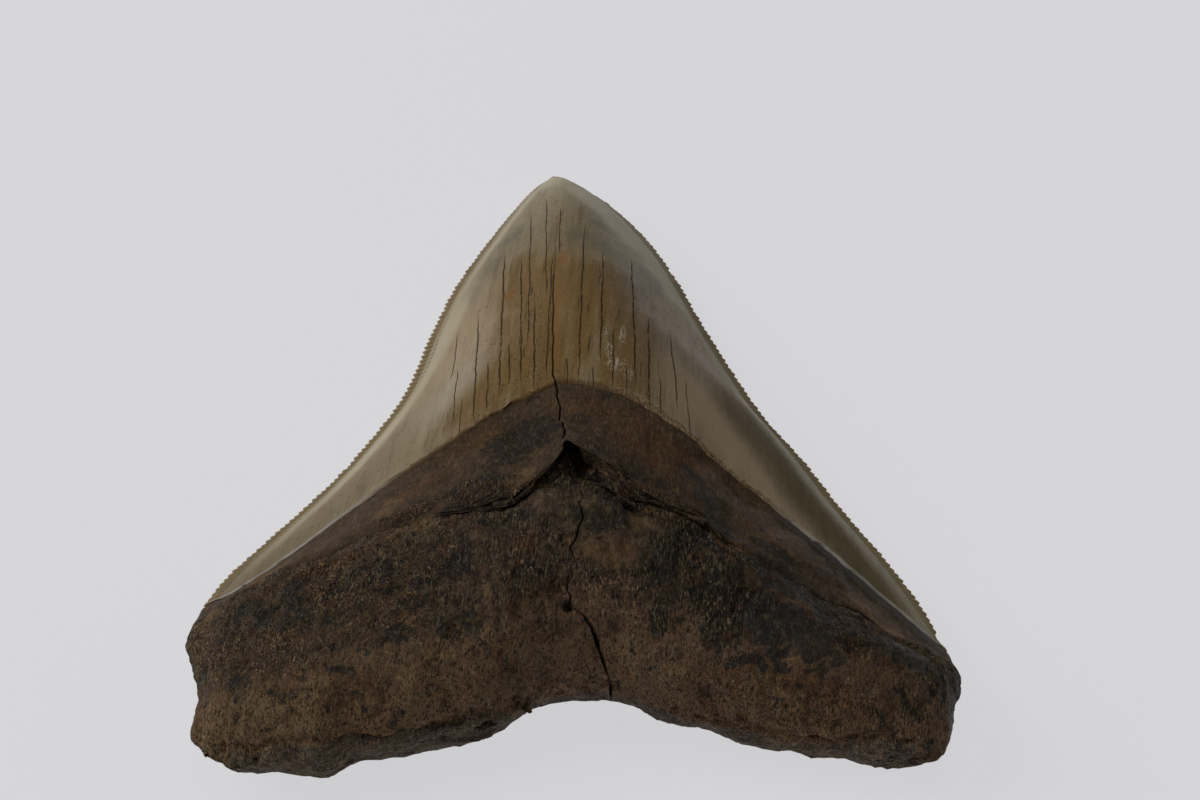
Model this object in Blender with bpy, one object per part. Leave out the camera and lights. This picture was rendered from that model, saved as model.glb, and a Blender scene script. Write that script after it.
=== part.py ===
"""Fossil megalodon tooth, one natural solid, lying on its flat labial face.

Metres, +Z up. +Y runs from the root to the tip, square to the crown's base line, and +X to the
right when the bulging lingual face looks up. The origin is on the resting plane, under the middle
of the tooth's box.

The tooth is a loft between unlike sections. A place on it is (u, v): u runs across from the left
side (-1) to the right side (1), and v from the root's base (0) through the nutrient ledge and the
enamel margin to the tip (1). Two sheets, lingual and labial, share the tooth's outline.
"""

import itertools

import bmesh
import bpy
import numpy as np
from mathutils import Matrix, Vector
from mathutils.bvhtree import BVHTree

MM = 0.001

# Driving dimensions: the tooth's box, and the serrations along each cutting edge.
TOOTH_WIDTH = 108.5 * MM
TOOTH_LENGTH = 121.0 * MM
TOOTH_THICKNESS = 25.0 * MM
SERRATIONS = 104
SERRATION_DEPTH = 0.45 * MM
WORN_SHARE = 1 / 12  # share of the edge, next to the tip, along which the serrations wear away
WORN_DEPTH = 0.25  # share of their depth that is left at the tip

# Outline seen from above, in millimetres. Each list runs upwards, or from left to right.
LEFT_ROOT_SIDE = (
    (-48.4, -61.0), (-50.2, -57.4), (-50.7, -51.4), (-52.2, -46.6), (-54.0, -42.0), (-53.9, -38.0),
    (-53.3, -34.4),
)
RIGHT_ROOT_SIDE = ((51.0, -53.2), (52.5, -49.4), (53.8, -44.0), (54.3, -40.4), (53.6, -37.2), (52.6, -34.4))
LEFT_CUTTING_EDGE = (
    (-53.3, -34.4), (-50.3, -28.3), (-45.1, -20.4), (-38.8, -10.8), (-33.6, -1.0), (-29.5, 9.1),
    (-27.0, 22.0), (-24.4, 32.5), (-20.8, 42.0), (-17.2, 50.4), (-14.2, 56.4), (-11.2, 59.8),
)
RIGHT_CUTTING_EDGE = (
    (52.6, -34.4), (48.7, -26.4), (43.6, -18.2), (37.5, -9.6), (31.9, -0.8), (25.3, 8.3),
    (19.9, 17.9), (14.8, 27.8), (9.8, 38.2), (4.6, 46.4), (-1.3, 53.2), (-6.9, 57.8), (-11.2, 59.8),
)
ROOT_BASE = (
    (-48.4, -61.0), (-44.0, -62.2), (-39.0, -61.8), (-35.2, -61.5), (-32.0, -62.1), (-29.8, -60.8),
    (-27.8, -58.6), (-25.5, -57.7), (-19.0, -56.6), (-14.6, -54.8), (-10.4, -54.4), (-6.8, -51.7),
    (-4.8, -50.6), (-2.6, -48.6), (1.5, -47.1), (6.0, -46.7), (9.6, -47.6), (13.6, -49.4),
    (18.5, -50.5), (23.5, -51.7), (28.7, -52.1), (36.4, -52.3), (41.0, -53.3), (46.5, -54.1),
    (51.0, -53.2),
)

# Feature lines across the lingual face, from left to right, between the two sides.
NUTRIENT_LEDGE = (
    (-53.8, -39.0), (-44.0, -35.5), (-34.0, -31.8), (-26.0, -29.4), (-19.6, -28.0), (-14.8, -27.5),
    (-12.8, -27.7), (-10.4, -27.0), (-8.5, -25.7), (-7.0, -24.1), (-6.1, -22.4), (-5.2, -21.0),
    (-3.9, -19.6), (-3.1, -18.0), (-2.9, -16.4), (-2.2, -16.0), (-0.9, -16.8), (0.7, -17.9),
    (2.0, -18.6), (3.7, -20.0), (5.2, -22.0), (6.2, -23.7), (7.7, -24.5), (10.1, -24.5),
    (13.4, -25.5), (15.9, -26.2), (17.7, -27.1), (21.1, -29.7), (24.4, -31.2), (32.0, -33.6),
    (43.5, -36.8), (54.3, -39.8),
)
ENAMEL_MARGIN = (
    (-53.3, -34.4), (-47.7, -31.6), (-39.9, -25.9), (-32.0, -19.6), (-23.9, -13.8), (-17.1, -9.0),
    (-11.2, -5.0), (-6.7, -2.5), (-4.3, -1.6), (1.3, -2.2), (7.2, -4.0), (13.2, -7.2),
    (18.6, -11.0), (25.6, -15.4), (33.0, -20.2), (40.2, -25.2), (47.0, -30.2), (52.6, -34.4),
)
LABIAL_MARGIN = (
    (-53.3, -34.4), (-44.0, -33.6), (-30.0, -30.4), (-15.0, -26.0), (-2.0, -23.8), (12.0, -26.0),
    (28.0, -30.4), (43.0, -33.6), (52.6, -34.4),
)
LEDGE_SIDE_SHARE = 0.8  # how far up the root's side the ledge line starts

# Where the feature lines sit along v.
V_LEDGE, V_MARGIN = 0.30, 0.40

# Sections of the loft, in millimetres: v, height of the outline, rise of the crest over it, the
# share of that rise which is a blunt shoulder, the two powers p and q of the rest of the section
# (1 - |u|^p)^q, and the rounding radius at the outline.
SECTIONS = np.array(
    (
        (0.00, 7.2, 9.2, 3.5, 3.0, 0.80, 6.5),
        (0.15, 7.0, 16.6, 4.2, 2.2, 0.90, 6.5),
        (0.29, 6.4, 18.6, 2.4, 1.9, 1.00, 5.0),
        (0.40, 5.2, 16.4, 0.4, 1.6, 1.10, 1.4),
        (0.55, 4.4, 15.2, 0.0, 1.7, 1.20, 0.8),
        (0.70, 3.8, 12.1, 0.0, 1.8, 1.20, 0.8),
        (0.85, 3.1, 7.3, 0.0, 1.9, 1.10, 0.8),
        (0.94, 2.8, 3.4, 0.0, 2.0, 1.00, 0.8),
        (1.00, 2.6, 0.0, 0.0, 2.0, 1.00, 0.8),
    )
)
# Labial sheet, in millimetres: v, height of its middle over the plane, and the share of the
# half width, from the middle out, that stays low before the sheet turns up to the outline.
LABIAL_SECTIONS = np.array(
    (
        (0.00, 3.0, 0.80),
        (0.15, 2.0, 0.78),
        (0.33, 1.2, 0.60),
        (0.45, 0.0, 0.36),
        (0.80, 0.0, 0.34),
        (0.93, 0.0, 0.20),
        (1.00, 1.0, 0.10),
    )
)
LABIAL_ARCH_SHARE = 0.62  # half width of the arch under the root, between its two lobes
NOTCH_LIFT = 1.6 * MM  # how much higher the outline runs at the notch than at the lobes

# The step from the neck down to the root, in millimetres: x, depth, and how far its foot lies in
# under the lip. The root comes back up under it, steep at first and then slow.
LEDGE_STEPS = np.array(
    (
        (-22.0, 0.0, 0.0), (-17.0, 0.3, 0.2), (-11.0, 0.7, 0.4), (-7.0, 1.3, 0.8), (-3.8, 2.6, 1.6),
        (-2.0, 3.4, 2.2), (0.0, 3.0, 0.8), (4.0, 2.2, 0.0), (6.5, 1.7, 0.4), (10.0, 1.4, 0.5),
        (15.0, 1.0, 0.4), (20.0, 0.6, 0.3), (26.0, 0.0, 0.0),
    )
)
LEDGE_FADES = ((0.55, 0.035), (0.45, 0.11))  # share of the depth, and the distance in v it fades over
ENAMEL_STEP = 0.35 * MM  # the enamel's rim stands this much over the neck
NARROW_ROW = 0.006  # distance in v from the top of a step to its foot
STEP_END = 0.12  # share of the half width over which both steps run out at each side

# Holes cut into the lingual face under the ledge: middle in x and y in millimetres, semi-axes in
# millimetres, and turn in degrees.
HOLES = (
    ("nutrient_foramen", (-2.1, -16.8), (1.6, 3.0, 3.0), -12),
    ("side_pit", (-11.9, -24.4), (1.7, 0.7, 1.4), -38),
)
# The drying crack that splits the tooth lengthwise: x and y, and width, in millimetres.
CRACK = (
    (-7.9, 19.0, 0.3), (-7.1, 13.1, 0.35), (-6.5, 6.5, 0.4), (-6.1, 1.3, 0.45), (-5.4, -0.9, 0.5),
    (-4.2, -8.0, 0.4), (-3.6, -12.0, 0.4), (-2.8, -17.0, 0.4), (0.2, -23.4, 0.4), (0.7, -27.5, 0.4),
    (-0.5, -31.6, 0.5), (-0.9, -36.3, 0.5), (-0.3, -38.9, 0.7), (1.8, -39.9, 0.8), (3.3, -41.6, 1.0),
    (4.5, -42.9, 1.0), (5.6, -44.4, 0.9), (5.9, -49.0, 0.9),
)
CRACK_DEPTH = 2.0 * MM
CRACK_FOOT = 5.0 * MM  # height at which it runs out of the base, in the notch between the lobes
CLEAR_ABOVE = 2.0 * MM  # how far the crack's cutter stands out of the surface

# Lumps of the weathered root and waves of the crown: cell size and height in millimetres, and seed.
ROOT_LUMPS = ((11.0, 0.75, 3), (5.0, 0.50, 7), (2.6, 0.25, 11))
CROWN_LUMPS = ((16.0, 0.22, 5),)
MARGIN_BLEND = 4.0 * MM  # width over which the root's lumps give way to the crown's
STILL_HEIGHT = 1.2 * MM  # below this height the lumps fade, so that the flat labial face stays flat

# The loft's grid. A power over 1 draws columns to the outline, and the root's rows to its base.
COLUMNS = 46
ROOT_ROWS, NECK_ROWS, CROWN_ROWS = 14, 5, 25
CLOSER_POWER = 1.35
CURVE_STEPS = 16  # places worked out between two points of a curve
OUTLINE_STEPS = 120  # places on each of the outline's five lines
ENAMEL_COLOUR = (0.27, 0.235, 0.17, 1.0)
ROOT_COLOUR = (0.045, 0.032, 0.022, 1.0)
SHARP_DEGREES = 40


def clear_scene():
    for obj in list(bpy.data.objects):
        bpy.data.objects.remove(obj, do_unlink=True)


def curve_through(points, share):
    """Places at these shares of the length of a smooth Catmull-Rom curve through the points, in metres."""
    knots = np.array(points, float) * MM
    padded = np.vstack([2 * knots[0] - knots[1], knots, 2 * knots[-1] - knots[-2]])
    t = np.linspace(0, 1, CURVE_STEPS, endpoint=False)[:, None]
    spans = []
    for a, b, c, d in zip(padded, padded[1:], padded[2:], padded[3:]):
        spans.append(
            0.5 * (2 * b + (c - a) * t + (2 * a - 5 * b + 4 * c - d) * t**2 + (3 * b - 3 * c + d - a) * t**3)
        )
    dense = np.vstack([*spans, knots[-1:]])
    run = np.concatenate([[0], np.cumsum(np.linalg.norm(np.diff(dense, axis=0), axis=1))])
    run /= run[-1]
    return np.stack([np.interp(share, run, dense[:, axis]) for axis in (0, 1)], axis=-1)


def smooth_table(v, table, column):
    """A column of a table of sections at v, eased between the sections by cubic Hermite spans."""
    x, y = table[:, 0], table[:, column]
    slope = np.gradient(y, x)
    i = np.clip(np.searchsorted(x, v, side="right") - 1, 0, len(x) - 2)
    width = x[i + 1] - x[i]
    t = np.clip((v - x[i]) / width, 0, 1)
    return (
        (2 * t**3 - 3 * t**2 + 1) * y[i]
        + (t**3 - 2 * t**2 + t) * width * slope[i]
        + (3 * t**2 - 2 * t**3) * y[i + 1]
        + (t**3 - t**2) * width * slope[i + 1]
    )


def between(bottom, top, left, right, u, t):
    """Coons patch: the plane stretched between a bottom and top line and a left and right side."""
    a = (u + 1)[None, :, None] / 2
    t = t[:, None, None]
    corners = (
        (1 - a) * (1 - t) * bottom[0] + a * (1 - t) * bottom[-1] + (1 - a) * t * top[0] + a * t * top[-1]
    )
    return (
        (1 - t) * bottom[None] + t * top[None] + (1 - a) * left[:, None] + a * right[:, None] - corners
    )


def plan(u, v, lingual):
    """Places seen from above for all v by u. The rows follow the feature lines of that face."""
    share = (u + 1) / 2
    base = curve_through(ROOT_BASE, share)
    margin = curve_through(ENAMEL_MARGIN if lingual else LABIAL_MARGIN, share)
    tip = np.repeat(curve_through(LEFT_CUTTING_EDGE, np.ones(1)), len(u), axis=0)
    up_side = np.interp(v, (0, V_LEDGE, V_MARGIN), (0, LEDGE_SIDE_SHARE, 1))
    up_edge = np.clip((v - V_MARGIN) / (1 - V_MARGIN), 0, 1)
    on_root = v < V_MARGIN
    left = np.where(
        on_root[:, None], curve_through(LEFT_ROOT_SIDE, up_side), curve_through(LEFT_CUTTING_EDGE, up_edge)
    )
    right = np.where(
        on_root[:, None], curve_through(RIGHT_ROOT_SIDE, up_side), curve_through(RIGHT_CUTTING_EDGE, up_edge)
    )
    crown = between(margin, tip, left, right, u, up_edge)
    if not lingual:
        root = between(base, margin, left, right, u, np.clip(v / V_MARGIN, 0, 1))
        return np.where(on_root[:, None, None], root, crown)
    ledge = curve_through(NUTRIENT_LEDGE, share)
    ledge[0] = curve_through(LEFT_ROOT_SIDE, np.array([LEDGE_SIDE_SHARE]))[0]
    ledge[-1] = curve_through(RIGHT_ROOT_SIDE, np.array([LEDGE_SIDE_SHARE]))[0]
    root = between(base, ledge, left, right, u, np.clip(v / V_LEDGE, 0, 1))
    neck = between(ledge, margin, left, right, u, np.clip((v - V_LEDGE) / (V_MARGIN - V_LEDGE), 0, 1))
    below = np.where((v < V_LEDGE)[:, None, None], root, neck)
    return np.where(on_root[:, None, None], below, crown)


def outline():
    """The tooth's whole outline as a closed line, without serrations."""
    share = np.linspace(0, 1, OUTLINE_STEPS)
    return np.vstack(
        [
            curve_through(ROOT_BASE, share)[:-1],
            curve_through(RIGHT_ROOT_SIDE, share)[:-1],
            curve_through(RIGHT_CUTTING_EDGE, share)[:-1],
            curve_through(LEFT_CUTTING_EDGE, share)[::-1][:-1],
            curve_through(LEFT_ROOT_SIDE, share)[::-1],
        ]
    )


def distance_to(line, places):
    """How far each place is from the nearest stretch of a line of points."""
    flat = places.reshape(-1, 2)
    nearest = np.full(len(flat), np.inf)
    for start, end in zip(line, line[1:]):
        along = end - start
        share = np.clip((flat - start) @ along / max(along @ along, 1e-18), 0, 1)
        nearest = np.minimum(nearest, np.linalg.norm(flat - start - share[:, None] * along, axis=1))
    return nearest.reshape(places.shape[:-1])


def eased(x):
    """0 below 0, 1 above 1, and a smooth step between them."""
    x = np.clip(x, 0, 1)
    return x * x * (3 - 2 * x)


def ledge_step(x):
    """Depth of the ledge's step, and how far its foot lies in under the lip, along x."""
    return [np.interp(x / MM, LEDGE_STEPS[:, 0], LEDGE_STEPS[:, k]) * MM for k in (1, 2)]


def steps_down(u, v, x):
    """Depth of the root under the ledge and of the neck under the enamel's rim.

    Each drops all at once at its line. The root fades back up towards the base.
    """
    fade = sum(share * np.exp(-(((V_LEDGE - v) / reach) ** 2)) for share, reach in LEDGE_FADES)
    root = ledge_step(x)[0] * np.where(v < V_LEDGE, fade, 0)
    neck = ENAMEL_STEP * (v < V_MARGIN)
    return (root + neck) * eased((1 - np.abs(u)) / STEP_END)


def heights(u, v, places, lingual):
    """Height of the lingual or labial sheet over the resting plane.

    The lingual sheet stands over the outline by shoulder + (rise - shoulder) * (1 - |u|^p)^q.
    Within the rounding radius of the outline it turns over to it along a quarter of an ellipse.
    """
    v, u = v[:, None], u[None, :]
    edge, rise, shoulder, p, q, radius = (smooth_table(v, SECTIONS, k) for k in range(1, 7))
    near_base = np.clip(1 - v / V_LEDGE, 0, 1)
    edge = edge * MM + NOTCH_LIFT * (1 - np.abs(u) ** 1.5) * near_base
    if lingual:
        over = shoulder + (rise - shoulder) * np.clip(1 - np.abs(u) ** p, 0, 1) ** q
        sheet = edge + over * MM - steps_down(u, v, places[..., 0])
    else:
        middle, low = (smooth_table(v, LABIAL_SECTIONS, k) for k in (1, 2))
        arch = np.clip(1 - (u / LABIAL_ARCH_SHARE) ** 2, 0, 1) ** 2
        turn_up = np.clip((np.abs(u) - low) / (1 - low), 0, 1) ** 2
        sheet = np.maximum(middle, 0) * MM * arch + edge * turn_up
    depth = np.clip(distance_to(outline(), places) / (radius * MM), 0, 1)
    return edge + (sheet - edge) * np.sqrt(1 - (1 - depth) ** 2)


def hashed(cells, seed):
    """A repeatable random value from -1 to 1 for each lattice cell."""
    n = cells @ np.array([73856093, 19349663, 83492791]) + seed * 1013904223
    n = (n ^ (n >> 13)) * 1274126177
    return ((n ^ (n >> 16)) & 0xFFFF) / 32767.5 - 1


def lattice_noise(points, cell, seed):
    """Smooth noise: random values at the corners of cubic cells, eased between the corners."""
    place = points / cell
    corner = np.floor(place).astype(np.int64)
    weight_ahead = eased(place - corner)
    total = np.zeros(len(points))
    for step in itertools.product((0, 1), repeat=3):
        weight = np.prod(np.where(step, weight_ahead, 1 - weight_ahead), axis=1)
        total += weight * hashed(corner + np.array(step), seed)
    return total


def lumps(points, layers):
    return sum(height * MM * lattice_noise(points, cell * MM, seed) for cell, height, seed in layers)


def serration_points(rows, side):
    """Points between the rows of one cutting edge, out and in by turns, two to a serration.

    Returns their share of the edge's length, and their places.
    """
    line = LEFT_CUTTING_EDGE if side < 0 else RIGHT_CUTTING_EDGE
    turn = np.arange(1, 2 * SERRATIONS)
    share = turn / (2 * SERRATIONS)
    row_share = (rows - V_MARGIN) / (1 - V_MARGIN)
    clear = np.abs(share[:, None] - row_share[None]).min(axis=1) > 0.4 * share[0]
    turn, share = turn[clear], share[clear]
    along = curve_through(line, np.minimum(share + 0.002, 1)) - curve_through(line, share - 0.002)
    outward = np.stack([along[:, 1], -along[:, 0]], axis=1) * side
    outward /= np.linalg.norm(outward, axis=1)[:, None]
    sharp = np.clip((1 - share) / WORN_SHARE, WORN_DEPTH, 1)
    reach = np.where(turn % 2, 0.5, -0.5) * SERRATION_DEPTH * sharp
    places = curve_through(line, share) + outward * reach[:, None]
    height = smooth_table(V_MARGIN + share * (1 - V_MARGIN), SECTIONS, 1) * MM
    return share, np.column_stack([places, height])


def tooth_grid():
    """Columns u and rows v of the loft, closer together near the outline and at the two steps."""
    even = np.linspace(-1, 1, COLUMNS + 1)
    u = np.sign(even) * (1 - (1 - np.abs(even)) ** CLOSER_POWER)
    root = (V_LEDGE - NARROW_ROW) * np.linspace(0, 1, ROOT_ROWS) ** CLOSER_POWER
    neck = np.linspace(V_LEDGE, V_MARGIN - NARROW_ROW, NECK_ROWS)
    crown = np.linspace(V_MARGIN, 1, CROWN_ROWS)
    return u, np.concatenate([root, neck, crown])


def sheet_points(u, v, lingual):
    places = plan(u, v, lingual)
    points = np.dstack([places, heights(u, v, places, lingual)])
    if lingual:
        points[ROOT_ROWS - 1, :, 1] += ledge_step(points[ROOT_ROWS - 1, :, 0])[1]
    return points


def edge_fans(sheet, rows, shares, numbers, first, columns):
    """Triangles from the column inside a cutting edge out to the serrations along it."""
    outer, inner = columns
    row_shares = (rows - V_MARGIN) / (1 - V_MARGIN)
    faces = []
    for i in range(first, len(rows) - 1):
        inside = (shares > row_shares[i]) & (shares < row_shares[i + 1])
        chain = [sheet[i, outer], *numbers[inside], sheet[i + 1, outer]]
        low, high = sheet[i, inner], sheet[i + 1, inner]
        middle = len(chain) // 2 if low != high and high != chain[-1] else len(chain) - 1
        faces += [(low, a, b) for a, b in zip(chain[:middle], chain[1 : middle + 1])]
        faces += [(high, a, b) for a, b in zip(chain[middle:], chain[middle + 1 :])]
        if middle < len(chain) - 1:
            faces.append((low, chain[middle], high))
    return faces


def tooth_surface():
    """Points and faces of the closed loft, and which faces are enamel.

    A lingual and a labial sheet share their outline. At the tip each row shrinks to one point.
    """
    u, v = tooth_grid()
    rows, columns = len(v), len(u)
    lingual, labial = sheet_points(u, v, True), sheet_points(u, v, False)
    tip = (rows - 1) * columns
    upper = np.arange(rows * columns).reshape(rows, columns)
    upper[-1] = tip
    lower = upper.copy()
    lower[1:-1, 1:-1] = tip + 1 + np.arange((rows - 2) * (columns - 2)).reshape(rows - 2, -1)
    points = [*lingual[:-1].reshape(-1, 3), lingual[-1, 0], *labial[1:-1, 1:-1].reshape(-1, 3)]
    first = int(np.searchsorted(v, V_MARGIN))
    faces, enamel = [], []
    for side, outer, inner in ((-1, 0, 1), (1, columns - 1, columns - 2)):
        shares, serrations = serration_points(v[first:], side)
        numbers = len(points) + np.arange(len(serrations))
        points += list(serrations)
        for sheet, turned in ((upper, side < 0), (lower, side > 0)):
            fans = edge_fans(sheet, v, shares, numbers, first, (outer, inner))
            faces += [face[::-1] if turned else face for face in fans]
    enamel += [True] * len(faces)
    for sheet, turned in ((upper, False), (lower, True)):
        for i, j in itertools.product(range(rows - 1), range(columns - 1)):
            if i >= first and j in (0, columns - 2):
                continue
            face = [sheet[i, j], sheet[i, j + 1], sheet[i + 1, j + 1], sheet[i + 1, j]]
            if i == rows - 2:
                face.pop()
            faces.append(face[::-1] if turned else face)
            enamel.append(i >= first)
    return np.array(points), [tuple(int(k) for k in face) for face in faces], enamel


def weather(obj):
    """Moves each point along its normal by the root's lumps or the crown's faint waves."""
    mesh = obj.data
    flat = np.empty(len(mesh.vertices) * 3, np.float32)
    mesh.vertices.foreach_get("normal", flat)
    normals = flat.reshape(-1, 3).astype(float)
    mesh.vertices.foreach_get("co", flat)
    points = flat.reshape(-1, 3).astype(float)
    margin = curve_through(ENAMEL_MARGIN, np.linspace(0, 1, 200))
    above = points[:, 1] - np.interp(points[:, 0], margin[:, 0], margin[:, 1])
    crown = np.clip(above / MARGIN_BLEND + 0.5, 0, 1)
    free = np.clip(points[:, 2] / STILL_HEIGHT, 0, 1)
    height = (1 - crown) * lumps(points, ROOT_LUMPS) + crown * lumps(points, CROWN_LUMPS)
    points += normals * (height * free)[:, None]
    points[:, 2] = np.maximum(points[:, 2], 0)
    mesh.vertices.foreach_set("co", points.astype(np.float32).ravel())
    mesh.update()


def fit_to_box(points):
    """Scale and shift that give the tooth its driving sizes, centred, with its lowest point on z = 0."""
    low, high = points.min(axis=0), points.max(axis=0)
    scale = np.array((TOOTH_WIDTH, TOOTH_LENGTH, TOOTH_THICKNESS)) / (high - low)
    middle = np.array(((low[0] + high[0]) / 2, (low[1] + high[1]) / 2, low[2]))
    return Matrix.Diagonal((*scale, 1)) @ Matrix.Translation(-Vector(middle))


def material(name, colour, roughness):
    made = bpy.data.materials.new(name)
    made.use_nodes = True
    shader = made.node_tree.nodes["Principled BSDF"]
    shader.inputs["Base Color"].default_value = colour
    shader.inputs["Roughness"].default_value = roughness
    return made


def collection(name):
    made = bpy.data.collections.new(name)
    bpy.context.scene.collection.children.link(made)
    return made


def new_object(name, points, faces, into):
    mesh = bpy.data.meshes.new(name)
    mesh.from_pydata([tuple(p) for p in points], [], faces)
    mesh.update()
    obj = bpy.data.objects.new(name, mesh)
    into.objects.link(obj)
    return obj


def height_over(tree, x, y):
    """Height of the lingual face over a place, looking straight down, or None beside the tooth."""
    hit = tree.ray_cast(Vector((x, y, 2 * TOOTH_THICKNESS)), Vector((0, 0, -1)))[0]
    return hit.z if hit else None


def hole_cutter(name, place, semi_axes, turn, tree, into):
    """A turned ellipsoid whose middle is on the lingual face."""
    x, y = np.array(place) * MM
    shape = bmesh.new()
    bmesh.ops.create_icosphere(shape, subdivisions=2, radius=1.0)
    stretch = Matrix.Diagonal((*(Vector(semi_axes) * MM), 1))
    shape.transform(Matrix.Rotation(np.radians(turn), 4, "Z") @ stretch)
    mesh = bpy.data.meshes.new(name)
    shape.to_mesh(mesh)
    shape.free()
    obj = bpy.data.objects.new(name, mesh)
    obj.location = (x, y, height_over(tree, x, y))
    into.objects.link(obj)
    return obj


def crack_cutter(tree, into):
    """A wedge along the crack, as wide as the crack at the surface and sharp at its bottom."""
    points, faces = [], []
    for x, y, width in np.array(CRACK) * MM:
        surface = height_over(tree, x, y) or CRACK_FOOT
        half = width / 2 * (CRACK_DEPTH + CLEAR_ABOVE) / CRACK_DEPTH
        points += [(x - half, y, surface + CLEAR_ABOVE), (x + half, y, surface + CLEAR_ABOVE)]
        points.append((x, y, surface - CRACK_DEPTH))
    last = len(points) - 3
    for k in range(0, last, 3):
        faces += [(k + a, k + b, k + 3 + b, k + 3 + a) for a, b in ((1, 0), (2, 1), (0, 2))]
    faces += [(0, 1, 2), (last + 2, last + 1, last)]
    return new_object("crack_wedge", points, faces, into)


def cut(obj, cutter):
    cutter.hide_render = True
    cutter.display_type = "WIRE"
    modifier = obj.modifiers.new(cutter.name, "BOOLEAN")
    modifier.operation = "DIFFERENCE"
    modifier.solver = "EXACT"
    modifier.object = cutter


def build():
    clear_scene()
    parts = collection("megalodon_tooth")
    cutters = collection("cutters")
    points, faces, enamel = tooth_surface()
    tooth = new_object("tooth", points, faces, parts)
    tooth.data.materials.append(material("root", ROOT_COLOUR, 0.7))
    tooth.data.materials.append(material("enamel", ENAMEL_COLOUR, 0.35))
    tooth.data.polygons.foreach_set("material_index", np.array(enamel, np.int32))
    weather(tooth)
    tooth.data.transform(fit_to_box(np.array([point.co for point in tooth.data.vertices])))
    tooth.data.shade_smooth()
    tooth.data.set_sharp_from_angle(angle=np.radians(SHARP_DEGREES))
    tree = BVHTree.FromPolygons(
        [point.co for point in tooth.data.vertices], [face.vertices for face in tooth.data.polygons]
    )
    for name, place, semi_axes, turn in HOLES:
        cut(tooth, hole_cutter(name, place, semi_axes, turn, tree, cutters))
    cut(tooth, crack_cutter(tree, cutters))


build()
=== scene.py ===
"""Looks of a fossil megalodon tooth: enamel crown, serrated cutting edges and weathered root.

The pieces stand in the solid's frame: metres, +Z up, +Y from the root to the tip. The tables are
in millimetres, and the finished surfaces are scaled to the solid's box. A place on the tooth is
(u, v): u runs across from the left side (-1) to the right side (1), and v from the root's base (0)
through the nutrient ledge and the enamel margin to the tip (1).
"""

import itertools

import bpy
import numpy as np
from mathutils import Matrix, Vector


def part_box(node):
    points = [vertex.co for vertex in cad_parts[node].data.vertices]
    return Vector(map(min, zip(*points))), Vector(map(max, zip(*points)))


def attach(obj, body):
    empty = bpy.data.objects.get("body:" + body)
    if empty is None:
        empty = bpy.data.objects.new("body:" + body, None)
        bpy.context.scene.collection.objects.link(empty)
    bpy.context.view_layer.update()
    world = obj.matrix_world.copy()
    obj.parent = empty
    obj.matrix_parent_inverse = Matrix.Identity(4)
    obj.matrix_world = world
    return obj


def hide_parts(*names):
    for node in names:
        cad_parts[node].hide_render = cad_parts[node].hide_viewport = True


MM = 0.001

# The tooth's outline and the lines across it, seen from above.
LEFT_ROOT_SIDE = (
    (-48.4, -61.0), (-50.2, -57.4), (-50.7, -51.4), (-52.2, -46.6), (-54.0, -42.0), (-53.9, -38.0),
    (-53.3, -34.4),
)
RIGHT_ROOT_SIDE = ((51.0, -53.2), (52.5, -49.4), (53.8, -44.0), (54.3, -40.4), (53.6, -37.2), (52.6, -34.4))
LEFT_CUTTING_EDGE = (
    (-53.3, -34.4), (-50.3, -28.3), (-45.1, -20.4), (-38.8, -10.8), (-33.6, -1.0), (-29.5, 9.1),
    (-27.0, 22.0), (-24.4, 32.5), (-20.8, 42.0), (-17.2, 50.4), (-14.2, 56.4), (-11.2, 59.8),
)
RIGHT_CUTTING_EDGE = (
    (52.6, -34.4), (48.7, -26.4), (43.6, -18.2), (37.5, -9.6), (31.9, -0.8), (25.3, 8.3),
    (19.9, 17.9), (14.8, 27.8), (9.8, 38.2), (4.6, 46.4), (-1.3, 53.2), (-6.9, 57.8), (-11.2, 59.8),
)
ROOT_BASE = (
    (-48.4, -61.0), (-44.0, -62.1), (-39.0, -61.6), (-35.2, -61.5), (-32.4, -61.6), (-30.4, -60.8),
    (-28.6, -58.9), (-25.5, -57.7), (-19.0, -56.6), (-14.6, -54.8), (-10.4, -54.4), (-6.8, -51.7),
    (-4.8, -50.6), (-2.6, -48.6), (1.5, -47.1), (6.0, -46.7), (9.6, -47.6), (13.6, -49.4),
    (18.5, -50.5), (23.5, -51.7), (28.7, -52.1), (36.4, -52.3), (41.0, -53.3), (46.5, -54.1),
    (51.0, -53.2),
)
NUTRIENT_LEDGE = (
    (-53.8, -39.0), (-44.0, -35.5), (-34.0, -31.8), (-26.0, -29.4), (-19.6, -28.0), (-14.8, -27.5),
    (-12.8, -27.7), (-10.4, -27.0), (-8.5, -25.7), (-7.0, -24.1), (-6.1, -22.4), (-5.2, -21.0),
    (-3.9, -19.6), (-3.1, -18.0), (-2.9, -16.4), (-2.2, -16.0), (-0.9, -16.8), (0.7, -17.9),
    (2.0, -18.6), (3.7, -20.0), (5.2, -22.0), (6.2, -23.7), (7.7, -24.5), (10.1, -24.5),
    (13.4, -25.5), (15.9, -26.2), (17.7, -27.1), (21.1, -29.7), (24.4, -31.2), (32.0, -33.6),
    (43.5, -36.5), (53.86, -38.1),
)
ENAMEL_MARGIN = (
    (-53.3, -34.4), (-47.7, -31.9), (-39.9, -26.5), (-32.0, -20.5), (-23.9, -14.7), (-17.1, -9.5),
    (-11.2, -5.2), (-6.7, -2.6), (-4.3, -1.6), (1.3, -2.2), (7.2, -4.2), (13.2, -8.0),
    (18.6, -12.2), (25.6, -16.8), (33.0, -21.5), (40.2, -26.1), (47.0, -30.6), (52.6, -34.4),
)
LABIAL_MARGIN = (
    (-53.3, -34.4), (-44.0, -33.6), (-30.0, -30.4), (-15.0, -26.0), (-2.0, -23.8), (12.0, -26.0),
    (28.0, -30.4), (43.0, -33.6), (52.6, -34.4),
)
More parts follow.
